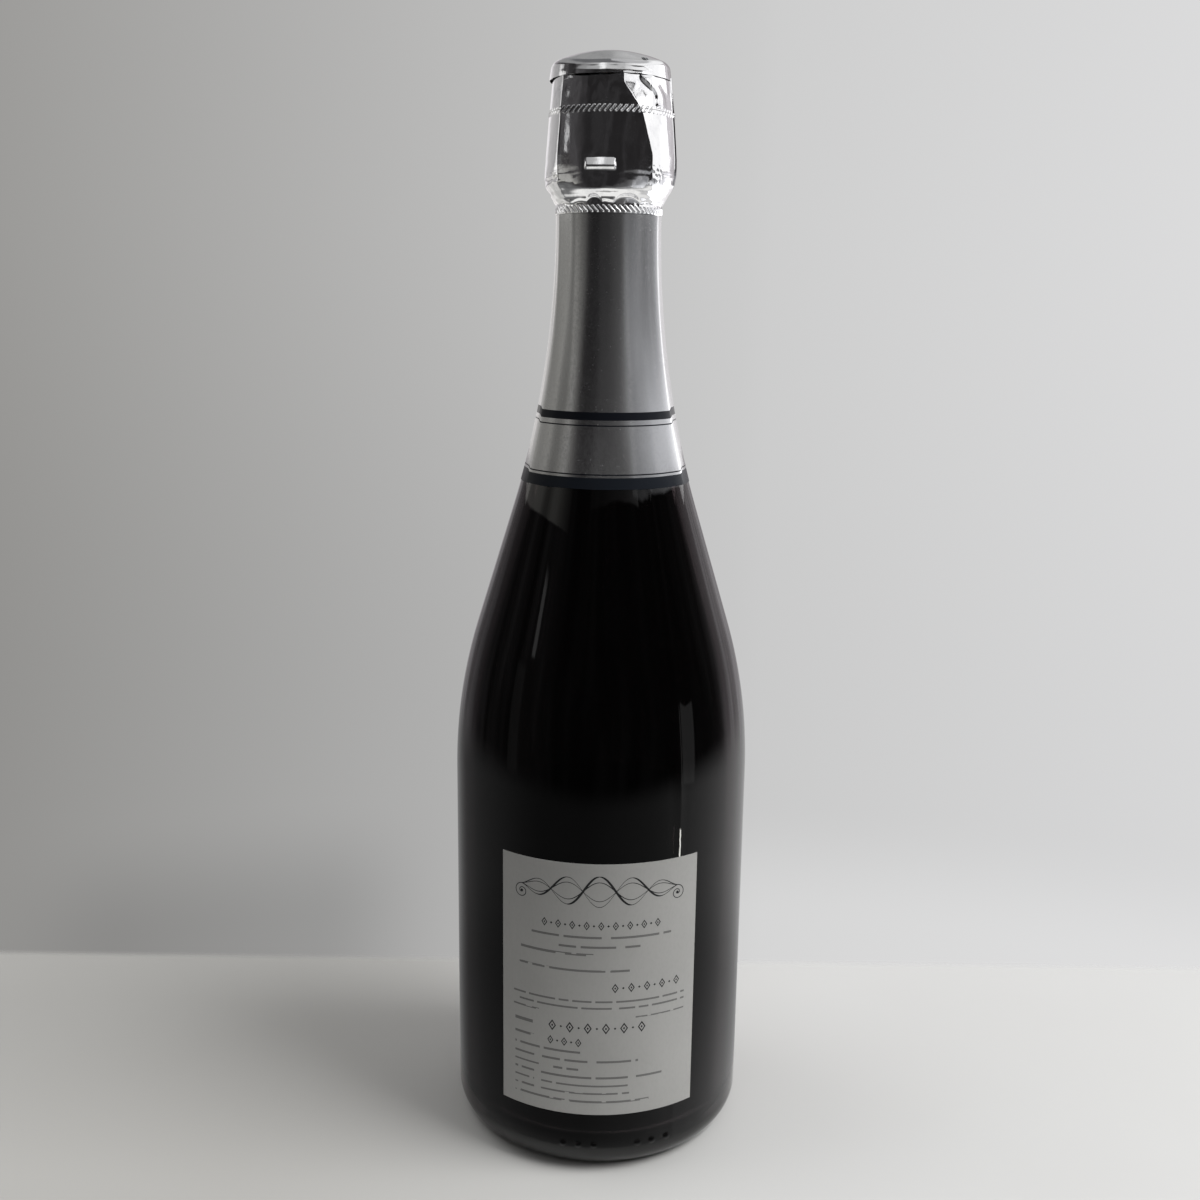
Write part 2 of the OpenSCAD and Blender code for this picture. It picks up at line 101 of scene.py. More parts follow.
def between(points: Sequence[Point], value: float) -> float:
    """Read a straight-lined curve at a value, held at both ends."""
    if value <= points[0][0]:
        return points[0][1]
    for (low, first), (high, last) in zip(points, points[1:]):
        if value <= high:
            return first + (last - first) * (value - low) / (high - low)
    return points[-1][1]


def arc(centre: Point, radius: float, start: float, end: float, steps: int) -> Line:
    """Points of a circle's arc.

    Args:
        centre: Radius and height of its centre.
        radius: Its radius.
        start: First angle, 0 outwards and 90 up.
        end: Last angle.
        steps: Number of steps.

    Returns:
        The points, first to last.
    """
    turns = [math.radians(start + (end - start) * i / steps) for i in range(steps + 1)]
    return [(centre[0] + radius * math.cos(t), centre[1] + radius * math.sin(t)) for t in turns]


def dome(height: float, radius: float, r: float) -> float:
    """Height of a dome at a radius, as the first quarter of a cosine wave."""
    return height * math.cos(math.pi / 2 * min(r / radius, 1))


def refined(line: Line, longest: float) -> Line:
    """Split the steps of a line until none is longer than a length."""
    points = [line[0]]
    for a, b in zip(line, line[1:]):
        parts = max(1, math.ceil(math.dist(a, b) / longest))
        points += [(a[0] + (b[0] - a[0]) * k / parts,
                    a[1] + (b[1] - a[1]) * k / parts) for k in range(1, parts + 1)]
    return points


def deselect() -> None:
    """Leave every object unselected."""
    bpy.ops.object.select_all(action="DESELECT")


def take(piece: bpy.types.Object) -> None:
    """Make one object the only selected and the active one."""
    deselect()
    piece.select_set(True)
    bpy.context.view_layer.objects.active = piece


def spun(name: str, outline: Line, steps: int, closed: bool) -> bpy.types.Object:
    """Spin an outline round the bottle's axis.

    Args:
        name: Name of the piece.
        outline: Radius and height of each point.
        steps: Steps of the full turn.
        closed: True if the outline closes on its first point.

    Returns:
        The spun piece, its faces outwards.
    """
    deselect()
    start = outline[0]
    bpy.ops.mesh.primitive_plane_add(size=MM, location=(start[0] * MM, 0, start[1] * MM))
    piece = bpy.context.object
    piece.name = name
    bpy.ops.object.mode_set(mode="EDIT")
    bpy.ops.mesh.select_all(action="SELECT")
    bpy.ops.mesh.merge(type="CENTER")
    stops = outline + [start] if closed else outline
    for a, b in zip(stops, stops[1:]):
        step = ((b[0] - a[0]) * MM, 0, (b[1] - a[1]) * MM)
        bpy.ops.mesh.extrude_vertices_move(TRANSFORM_OT_translate={"value": step})
    bpy.ops.mesh.select_all(action="SELECT")
    bpy.ops.mesh.remove_doubles(threshold=1e-7)
    bpy.ops.mesh.spin(steps=steps, angle=math.tau, center=(0, 0, 0), axis=(0, 0, 1))
    bpy.ops.mesh.select_all(action="SELECT")
    bpy.ops.mesh.remove_doubles(threshold=2e-6)
    bpy.ops.mesh.normals_make_consistent(inside=False)
    bpy.ops.object.mode_set(mode="OBJECT")
    bpy.ops.object.transform_apply(location=True, rotation=False, scale=False)
    return piece


def reshape(piece: bpy.types.Object, rule: Rule) -> None:
    """Move each point of a piece by a rule of its side, height and radius."""
    for vertex in piece.data.vertices:
        x, y, z = vertex.co
        side, height, radius = math.degrees(math.atan2(x, -y)), z / MM, math.hypot(x, y) / MM
        side, height, radius = rule(side, height, radius)
        turn = math.radians(side)
        vertex.co = (math.sin(turn) * radius * MM, -math.cos(turn) * radius * MM, height * MM)
    piece.data.update()


def with_modifier(piece: bpy.types.Object, kind: str, **settings: float | bool | str) -> None:
    """Add a modifier to a piece, set it and apply it."""
    take(piece)
    modifier = piece.modifiers.new(kind.title(), kind)
    for key, value in settings.items():
        setattr(modifier, key, value)
    bpy.ops.object.modifier_apply(modifier=modifier.name)


def face_out(piece: bpy.types.Object) -> None:
    """Turn an open sheet's faces away from the bottle's axis."""
    outward = sum(
        (face.normal.x * face.center.x + face.normal.y * face.center.y + face.normal.z * 0.01) * face.area
        for face in piece.data.polygons
    )
    if outward < 0:
        take(piece)
        bpy.ops.object.mode_set(mode="EDIT")
        bpy.ops.mesh.select_all(action="SELECT")
        bpy.ops.mesh.flip_normals()
        bpy.ops.object.mode_set(mode="OBJECT")


def smooth(piece: bpy.types.Object, angle: float) -> None:
    """Shade a piece smooth, apart from edges sharper than an angle."""
    take(piece)
    bpy.ops.object.shade_smooth_by_angle(angle=math.radians(angle))


def settle(piece: bpy.types.Object, finish: Material, body: Body, slot: Slot, *nodes: str) -> None:
    """Dress a finished piece and set it on its body.

    Args:
        piece: The finished piece.
        finish: Its material.
        body: The body that it rides on.
        slot: The record's slot of its finish. Not used.
        nodes: CAD nodes that it stands for.
    """
    piece.data.materials.clear()
    piece.data.materials.append(finish)
    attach(piece, body.value)
    if nodes:
        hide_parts(*nodes)
    log.info("%s: %d faces on %s", piece.name, len(piece.data.polygons), body.value)


class Tree:
    """A node tree with short ways to add and join its nodes."""

    def __init__(self, tree: bpy.types.NodeTree) -> None:
        """Hold the tree."""
        self.tree = tree

    def node(self, kind: str, inputs: dict | None = None, **settings: object) -> bpy.types.Node:
        """Add a node.

        Args:
            kind: Node type, without the ShaderNode prefix.
            inputs: Values or sockets for its inputs, by name or place.
            settings: Its own properties.

        Returns:
            The node.
        """
        made = self.tree.nodes.new("ShaderNode" + kind)
        for key, value in settings.items():
            setattr(made, key, value)
        for key, value in (inputs or {}).items():
            self.set(made.inputs[key], value)
        return made

    def set(self, socket: Socket, value: object) -> None:
        """Join a socket to another, or give it a plain value."""
        if isinstance(value, Socket):
            self.tree.links.new(value, socket)
        elif isinstance(value, tuple) and len(value) == 3 and socket.type == "RGBA":
            socket.default_value = (*value, 1)
        else:
            socket.default_value = value

    def math(self, operation: str, a: object, b: object = 0.0, c: object = 0.0) -> Socket:
        """One step of arithmetic on values or sockets."""
        return self.node("Math", {0: a, 1: b, 2: c}, operation=operation).outputs[0]

    def times(self, a: object, b: object) -> Socket:
        """Product of two values or sockets."""
        return self.math("MULTIPLY", a, b)

    def plus(self, a: object, b: object) -> Socket:
        """Sum of two values or sockets."""
        return self.math("ADD", a, b)

    def minus(self, a: object, b: object) -> Socket:
        """Difference of two values or sockets."""
        return self.math("SUBTRACT", a, b)

    def most(self, a: object, b: object) -> Socket:
        """Larger of two values or sockets."""
        return self.math("MAXIMUM", a, b)

    def size(self, a: object) -> Socket:
        """Value of a socket without its sign."""
        return self.math("ABSOLUTE", a)

    def length(self, a: object, b: object) -> Socket:
        """Length of the long side over two square sides."""
        return self.math("SQRT", self.plus(self.times(a, a), self.times(b, b)))

    def span(self, value: object, low: float, high: float, first: float = 0.0, last: float = 1.0,
             smoothly: bool = True) -> Socket:
        """Map a value from one range to another, held at both ends."""
        kind = "SMOOTHSTEP" if smoothly else "LINEAR"
        inputs = {"Value": value, "From Min": low, "From Max": high, "To Min": first, "To Max": last}
        return self.node("MapRange", inputs, interpolation_type=kind).outputs[0]

    def mix(self, share: object, a: object, b: object, how: str = "MIX") -> Socket:
        """Mix two colours by a share."""
        made = self.node("Mix", {"Factor": share}, data_type="RGBA", blend_type=how)
        self.set(made.inputs[6], a)
        self.set(made.inputs[7], b)
        return made.outputs[2]

    def ramp(self, value: object, stops: Sequence[tuple[float, ...]], stepped: bool = False) -> Socket:
        """Read a value off a ramp.

        Args:
            value: Place on the ramp, from zero to one.
            stops: Place of each stop, then its brightness, or its red, green and blue.
            stepped: True if each stop holds until the next one.

        Returns:
            The ramp's colour.
        """
        made = self.node("ValToRGB", {0: value})
        bar = made.color_ramp
        bar.interpolation = "CONSTANT" if stepped else "LINEAR"
        for number, (place, *tone) in enumerate(stops):
            stop = bar.elements[number] if number < 2 else bar.elements.new(place)
            stop.position = place
            stop.color = (*(tone * 3)[:3], 1)
        return made.outputs[0]

    def noise(self, place: object, scale: float, detail: float = 3, rough: float = 0.5) -> Socket:
        """Soft noise between zero and one."""
        inputs = {"Vector": place, "Scale": scale, "Detail": detail, "Roughness": rough}
        return self.node("TexNoise", inputs).outputs["Fac"]

    def point(self, x: object, y: object = 0.0, z: object = 0.0) -> Socket:
        """Join three values to a place."""
        return self.node("CombineXYZ", {0: x, 1: y, 2: z}).outputs[0]

    def scaled(self, place: object, factors: Trio) -> Socket:
        """Stretch a place by a factor along each axis."""
        return self.node("Mapping", {"Vector": place, "Scale": factors}).outputs[0]

    def bump(self, height: object, depth: float, strength: float = 1.0) -> Socket:
        """Normal of a height pattern, its full depth in metres."""
        return self.node("Bump", {"Height": height, "Distance": depth, "Strength": strength}).outputs[0]

    def polar(self, place: object) -> tuple[Socket, Socket, Socket]:
        """Side in degrees, height and radius in millimetres of a place."""
        parts = self.node("SeparateXYZ", {0: place}).outputs
        turn = self.math("ARCTAN2", parts[0], self.times(parts[1], -1.0))
        side = self.times(turn, 180 / math.pi)
        wide = self.length(parts[0], parts[1])
        return side, self.times(parts[2], 1 / MM), self.times(wide, 1 / MM)


class Finish(Tree):
    """A material on the Principled shader, in the piece's own coordinates."""

    def __init__(self, name: str, **plain: float | tuple) -> None:
        """Make the material.

        Args:
            name: Its name.
            plain: Values of the shader's own sockets, by name with underscores.
        """
        self.material = bpy.data.materials.new(name)
        self.material.use_nodes = True
        super().__init__(self.material.node_tree)
        self.shader = self.tree.nodes["Principled BSDF"]
        for key, value in plain.items():
            self.set(self.shader.inputs[key.replace("_", " ")], value)
        self.place = self.node("TexCoord").outputs["Object"]

    def wear(self, **joined: object) -> Material:
        """Join patterns to the shader's sockets and give the material."""
        for key, value in joined.items():
            self.set(self.shader.inputs[key.replace("_", " ")], value)
        return self.material


@dataclass(frozen=True)
class BottleGlass:
    """Near-black bottle glass with faint fingerprints and dust, and a painted highlight: a whitish streak
    above the back label that stands in for a glint.
    """

    tint: Trio = (0.024, 0.019, 0.020)
    # painted highlight: whitish colour of the streak that stands in for a glint above the back label
    glue: Trio = (0.86, 0.85, 0.80)
    glint_side: float = 30.7
    glint_low: float = 97.0
    glint_high: float = 105.6
    glint_half: float = 0.22
    smear: float = 0.05
    dust: float = 1980.0

    def make(self) -> Material:
        """Build the material."""
        finish = Finish("bottle_glass", IOR=1.5)
        smears = finish.noise(finish.scaled(finish.place, (1, 1, 0.4)), 38, 4)
        dust = finish.noise(finish.place, self.dust, 2)
        marks = finish.plus(finish.span(smears, 0.55, 0.75, 0.018, self.smear),
                            finish.span(dust, 0.68, 0.8, 0.0, 0.03))
        ripple = finish.noise(finish.scaled(finish.place, (1, 1, 0.25)), 42, 2)
        side, height, _ = finish.polar(finish.place)
        # painted highlight: a narrow whitish streak above the back label, opaque and rougher than the glass,
        # where a glint shines
        wander = finish.span(finish.noise(finish.place, 260, 2), 0.3, 0.7, -0.12, 0.12)
        off = finish.size(finish.plus(finish.minus(side, self.glint_side), wander))
        glint_mask = finish.times(finish.span(height, self.glint_low, self.glint_low + 1),
                           finish.span(height, self.glint_high, self.glint_high + 1.4, 1.0, 0.0))
        glint_mask = finish.times(glint_mask, finish.span(off, self.glint_half, self.glint_half + 0.14, 1.0, 0.0))
        return finish.wear(
            Base_Color=finish.mix(glint_mask, self.tint, self.glue),
            Transmission_Weight=finish.minus(1.0, glint_mask),
            Roughness=finish.math("MULTIPLY_ADD", glint_mask, 0.3, marks),
            Normal=finish.bump(ripple, 0.00008, 0.25),
        )


@dataclass(frozen=True)
class BrightFoil:
    """Polished tin foil with hand creases and a fine grain of rubbing."""

    colour: Trio = (0.88, 0.88, 0.89)
    dull: Trio = (0.70, 0.70, 0.72)
    roughness: float = 0.07
    cloud: float = 160
    grain: float = 2600
    crease: float = 420
    crease_depth: float = 0.00007

    def make(self) -> Material:
        """Build the material."""
        finish = Finish("bright_foil", Metallic=1.0)
        cloud = finish.noise(finish.place, self.cloud, 4, 0.6)
        grain = finish.noise(finish.place, self.grain, 2)
        colour = finish.mix(finish.span(cloud, 0.45, 0.8), self.colour, self.dull)
        rough = finish.plus(finish.span(cloud, 0.3, 0.75, self.roughness * 0.7, self.roughness * 2.1),
                            finish.span(grain, 0.4, 0.8, 0.0, 0.04))
        creases = finish.plus(finish.noise(finish.scaled(finish.place, (1, 1, 0.6)), self.crease, 3, 0.6),
                              finish.times(grain, 0.08))
        return finish.wear(Base_Color=colour, Roughness=rough,
                           Normal=finish.bump(creases, self.crease_depth, 0.5))


@dataclass(frozen=True)
class SatinFoil:
    """Satin silver foil with a pressed stipple and printed rings.

    Each ring is its lower and upper height. The lowest band is blue-black, up to its own height.
    """

    colour: Trio = (0.52, 0.52, 0.525)
    ink: Trio = (0.006, 0.007, 0.010)
    blue_ink: Trio = (0.009, 0.011, 0.015)
    rings: tuple[tuple[float, float], ...] = ((219.3, 221.5), (217.65, 218.0), (204.35, 204.7))
    band_high: float = 203.7
    roughness: float = 0.23
    mottle: float = 1500
    stipple_depth: float = 0.00003
    stipple: float = 0.11

    def make(self) -> Material:
        """Build the material."""
        finish = Finish("satin_foil")
        height = finish.node("Attribute", attribute_name="print_height").outputs["Fac"]
        mottle = finish.noise(finish.place, self.mottle, 3, 0.6)
        cloud = finish.noise(finish.scaled(finish.place, (1, 1, 0.35)), 70, 3)
        metal = finish.mix(finish.span(cloud, 0.3, 0.7), self.colour, tuple(c * 0.86 for c in self.colour))
        metal = finish.mix(finish.span(mottle, 0.5, 0.75, 0.0, 0.16), metal,
                           tuple(c * 0.6 for c in self.colour))
        inked: object = 0.0
        for low, high in self.rings:
            inside = finish.times(finish.math("GREATER_THAN", height, low),
                                  finish.math("LESS_THAN", height, high))
            inked = finish.most(inked, inside)
        lowest = finish.math("LESS_THAN", height, self.band_high)
        colour = finish.mix(lowest, finish.mix(inked, metal, self.ink), self.blue_ink)
        printed = finish.most(inked, lowest)
        rough = finish.plus(finish.span(mottle, 0.3, 0.75, self.roughness * 0.85, self.roughness * 1.2),
                            finish.times(printed, 0.08))
        stipple = finish.plus(mottle, finish.times(finish.noise(finish.place, 2400, 2), 0.5))
        return finish.wear(
            Base_Color=colour,
            Metallic=finish.minus(1.0, printed),
            Roughness=rough,
            Specular_IOR_Level=finish.math("MULTIPLY_ADD", printed, -0.38, 0.5),
            Normal=finish.bump(stipple, self.stipple_depth, self.stipple),
        )


@dataclass(frozen=True)
class GrainCork:
    """Pressed cork grains of several browns, with dark joints and pits."""

    pale: Trio = (0.56, 0.37, 0.20)
    deep: Trio = (0.36, 0.20, 0.09)
    joint: Trio = (0.16, 0.085, 0.04)
    grain: float = 620

    def make(self) -> Material:
        """Build the material."""
        finish = Finish("grain_cork", Specular_IOR_Level=0.3)
        warp = finish.noise(finish.place, 900, 3)
        place = finish.mix(0.0016, finish.place, finish.point(warp, warp, warp))
        cells = finish.node("TexVoronoi", {"Vector": place, "Scale": self.grain})
        edge = finish.node("TexVoronoi", {"Vector": place, "Scale": self.grain}, feature="DISTANCE_TO_EDGE")
        fine = finish.noise(finish.place, 3200, 3)
        tone = finish.node("SeparateColor", {0: cells.outputs["Color"]}).outputs[0]
        colour = finish.mix(tone, self.pale, self.deep)
        colour = finish.mix(finish.span(fine, 0.35, 0.7, 0.0, 0.35), colour, self.deep)
        gap = finish.span(edge.outputs["Distance"], 0.0, 0.07, 1.0, 0.0)
        colour = finish.mix(finish.times(gap, 0.75), colour, self.joint)
        height = finish.minus(finish.times(fine, 0.4), gap)
        return finish.wear(Base_Color=colour, Roughness=finish.span(fine, 0.2, 0.8, 0.75, 0.95),
                           Normal=finish.bump(height, 0.0002, 0.8))


@dataclass(frozen=True)
class DiscCork:
    """Whole natural cork with year lines and dark pores."""

    pale: Trio = (0.62, 0.41, 0.22)
    deep: Trio = (0.44, 0.26, 0.12)
    pore: Trio = (0.13, 0.06, 0.03)

    def make(self) -> Material:
        """Build the material."""
        finish = Finish("disc_cork", Specular_IOR_Level=0.3)
        years = finish.noise(finish.scaled(finish.place, (0.25, 1, 0.5)), 900, 3, 0.6)
        pores = finish.noise(finish.scaled(finish.place, (0.8, 1, 2.2)), 620, 2, 0.4)
        fine = finish.noise(finish.place, 3600, 2)
        colour = finish.mix(finish.span(years, 0.35, 0.65), self.pale, self.deep)
        hole = finish.span(pores, 0.64, 0.7)
        colour = finish.mix(hole, colour, self.pore)
        height = finish.minus(finish.times(fine, 0.25), hole)
        return finish.wear(Base_Color=colour, Roughness=finish.span(fine, 0.2, 0.8, 0.7, 0.9),
                           Normal=finish.bump(height, 0.00015, 0.8))


@dataclass(frozen=True)
class CapMetal:
    """Lacquered sheet cap with a brushed turn and fine scratches."""

    colour: Trio = (0.55, 0.55, 0.57)
    roughness: float = 0.24

    def make(self) -> Material:
        """Build the material."""
        finish = Finish("cap_metal", Metallic=1.0, Coat_Weight=0.3, Coat_Roughness=0.12)
        _, _, radius = finish.polar(finish.place)
        turned = finish.noise(finish.point(radius), 14, 3)
        speck = finish.noise(finish.place, 1400, 3)
        colour = finish.mix(finish.span(speck, 0.5, 0.8, 0.0, 0.5), self.colour,
                            tuple(c * 0.6 for c in self.colour))
        rough = finish.span(turned, 0.3, 0.7, self.roughness * 0.7, self.roughness * 1.3)
        return finish.wear(Base_Color=colour, Roughness=rough, Normal=finish.bump(turned, 0.00004, 0.4))


@dataclass(frozen=True)
class GalvanisedWire:
    """Drawn steel wire with a zinc coat."""

    colour: Trio = (0.52, 0.53, 0.55)
    roughness: float = 0.3

    def make(self) -> Material:
        """Build the material."""
        finish = Finish("galvanised_wire", Metallic=1.0)
        zinc = finish.noise(finish.place, 1100, 4, 0.6)
        colour = finish.mix(finish.span(zinc, 0.4, 0.7), self.colour, tuple(c * 0.62 for c in self.colour))
        rough = finish.span(zinc, 0.3, 0.75, self.roughness * 0.75, self.roughness * 1.6)
        return finish.wear(Base_Color=colour, Roughness=rough, Normal=finish.bump(zinc, 0.00005, 0.6))


@dataclass(frozen=True)
class Print:
    """One printed row: its height, how tall it is, and its ends across the label."""

    low: float
    tall: float
    left: float
    right: float


@dataclass(frozen=True)
class LabelPaper:
    """Silver-grey label paper, printed with a generic pen flourish, rows of lozenges and rows of plain bars.

    Nothing on it is lettering. A bar fills its row from one share of the row's height to another.
    """

    name: str
    middle: float
    columns: tuple[tuple[Print, ...], ...]
    flourish: Trio
    lozenges: tuple[Print, ...]
    border: float = 0.0
    low: float = 19.7
    high: float = 97.9
    half: float = 30.0
    radius: float = 44.47
    paper: Trio = (0.47, 0.467, 0.452)
    ink: Trio = (0.012, 0.012, 0.014)
    strength: float = 0.62
    bar: Point = (0.2, 0.66)
    word_pitch: float = 0.36

    def make(self) -> Material:
        """Build the material."""
        finish = Finish(self.name, Specular_IOR_Level=0.5)
        side, height, _ = finish.polar(finish.place)
        off = finish.math("WRAP", finish.minus(side, self.middle), 180.0, -180.0)
        across = finish.times(off, math.radians(self.radius))
        inked: object = self.flourished(finish, across, height)
        for row in self.lozenges:
            inked = finish.most(inked, self.lozenge_row(finish, across, height, row))
        for number, column in enumerate(self.columns):
            inked = finish.most(inked, self.bars(finish, across, height, column, number))
        if self.border:
            inked = finish.most(inked, self.frame_line(finish, across, height))
        fibre = finish.noise(finish.scaled(finish.place, (1, 1, 0.5)), 1500, 4, 0.6)
        cloud = finish.noise(finish.place, 45, 3)
        paper = finish.mix(finish.span(cloud, 0.3, 0.7), self.paper, tuple(c * 0.94 for c in self.paper))
        paper = finish.mix(finish.span(fibre, 0.4, 0.75, 0.0, 0.12), paper,
                           tuple(c * 0.7 for c in self.paper))
        rough = finish.plus(finish.span(fibre, 0.3, 0.7, 0.42, 0.52), finish.times(inked, 0.08))
        metal = finish.times(finish.minus(1.0, inked), 0.18)
        return finish.wear(Base_Color=finish.mix(inked, paper, self.ink), Metallic=metal, Roughness=rough,
                           Normal=finish.bump(fibre, 0.00003, 0.35))

    def within(self, finish: Finish, value: object, low: float, high: float, soft: float) -> Socket:
        """One between two values, zero outside, with soft ends."""
        return finish.times(finish.span(value, low - soft, low + soft),
                            finish.span(value, high - soft, high + soft, 1.0, 0.0))

    def bars(self, finish: Finish, across: object, height: object, column: tuple[Print, ...],
             number: int) -> Socket:
        """Plain bars in words' lengths, one a row, read off a ramp that holds each row's ends and size."""
        bottom, top = column[0].low - 1, column[-1].low + column[-1].tall + 1
        stops: list[tuple[float, ...]] = [(0.0, 0.0, 0.0, 1.0)]
        for row in column:
            first, last = ((row.low + row.tall * share - bottom) / (top - bottom) for share in self.bar)
            stops += [(first, row.left / 100 + 0.5, row.right / 100 + 0.5, row.tall / 5),
                      (last, 0.0, 0.0, 1.0)]
        place = finish.span(height, bottom, top, smoothly=False)
        left, right, size = finish.node("SeparateColor", {0: finish.ramp(place, stops, True)}).outputs
        there = finish.math("MULTIPLY_ADD", across, 0.01, 0.5)
        inside = finish.times(finish.math("GREATER_THAN", there, left),
                              finish.math("LESS_THAN", there, right))
        tall = finish.times(size, 5.0)
        step = finish.plus(finish.math("DIVIDE", across, tall), number * 41.3)
        rise = finish.math("DIVIDE", height, tall)
        word = finish.point(finish.times(step, self.word_pitch), finish.math("FLOOR", rise))
        gap = finish.span(finish.noise(word, 1.0, 0), 0.385, 0.40)
        return finish.times(inside, finish.times(gap, self.strength))

    def lozenge_row(self, finish: Finish, across: object, height: object, row: Print) -> Socket:
        """A row of lozenges with a dot between each two."""
        pitch = (row.right - row.left) / round((row.right - row.left) / row.tall / 1.5)
        cell = finish.math("FRACT", finish.math("DIVIDE", finish.minus(across, row.left), pitch))
        beside = finish.times(finish.size(finish.minus(cell, 0.5)), pitch)
        over = finish.size(finish.minus(height, row.low + row.tall / 2))
        away = finish.plus(finish.times(beside, 1.5), over)
        rim = self.within(finish, away, row.tall * 0.32, row.tall / 2, 0.05)
        heart = finish.span(away, row.tall * 0.12, row.tall * 0.12 + 0.1, 1.0, 0.0)
        ends = finish.minus(pitch / 2, beside)
        dot = finish.span(finish.plus(ends, over), 0.32, 0.44, 1.0, 0.0)
        marks = finish.most(finish.most(rim, heart), dot)
        return finish.times(marks, self.within(finish, across, row.left + 0.4, row.right - 0.4, 0.05))

    def flourished(self, finish: Finish, across: object, height: object) -> Socket:
        """A pen flourish, the same on both sides: two crossing waves that end in curls."""
        middle, half_wide, half_tall = self.flourish
        beside = finish.size(across)
        above = finish.minus(height, middle)
        share = finish.math("DIVIDE", beside, half_wide)
        spindle = finish.most(finish.minus(1.0, finish.times(share, share)), 0.0)
        swell = finish.times(finish.math("POWER", spindle, 0.7), half_tall)
        turn = finish.times(beside, 2.5 * math.pi / half_wide)
        inked: object = 0.0
        for hand, size in ((1, 1.0), (-1, 1.0), (1, 0.62), (-1, 0.62)):
            rise = finish.times(finish.math("COSINE", turn), finish.times(swell, hand * size))
            away = finish.size(finish.minus(above, rise))
            heavy = finish.most(finish.times(finish.math("SINE", turn), float(hand)), 0.0)
            full = 0.055 * half_tall if size == 1.0 else 0.01 * half_tall
            pen = finish.plus(finish.times(finish.times(heavy, spindle), full * 2), 0.10)
            inked = finish.most(inked, finish.math("LESS_THAN", away, pen))
        inked = finish.times(inked, finish.math("GREATER_THAN", spindle, 0.0))
        curl_r, pitch = half_tall * 0.50, half_tall * 0.28
        right = finish.minus(beside, half_wide - 0.25)
        up = finish.plus(above, curl_r)
        reach = finish.length(right, up)
        wound = finish.math("DIVIDE", finish.math("ARCTAN2", right, up), math.tau)
        coil = finish.minus(finish.math("DIVIDE", finish.minus(curl_r, reach), pitch), wound)
        miss = finish.times(finish.size(finish.minus(coil, finish.math("ROUND", coil))), pitch)
        line = finish.times(finish.math("LESS_THAN", miss, 0.13),
                            finish.math("LESS_THAN", reach, curl_r + 0.1))
        line = finish.times(line, finish.math("GREATER_THAN", reach, curl_r * 0.22))
        return finish.most(inked, finish.most(line, finish.math("LESS_THAN", reach, curl_r * 0.2)))

    def frame_line(self, finish: Finish, across: object, height: object) -> Socket:
        """Two printed lines round the label's edge."""
        beside = finish.minus(self.half, finish.size(across))
        over = finish.math("MINIMUM", finish.minus(self.high, height), finish.minus(height, self.low))
        away = finish.math("MINIMUM", beside, over)
        thick = self.within(finish, away, self.border, self.border + 0.9, 0.05)
        return finish.most(thick, self.within(finish, away, self.border + 1.7, self.border + 2.0, 0.05))


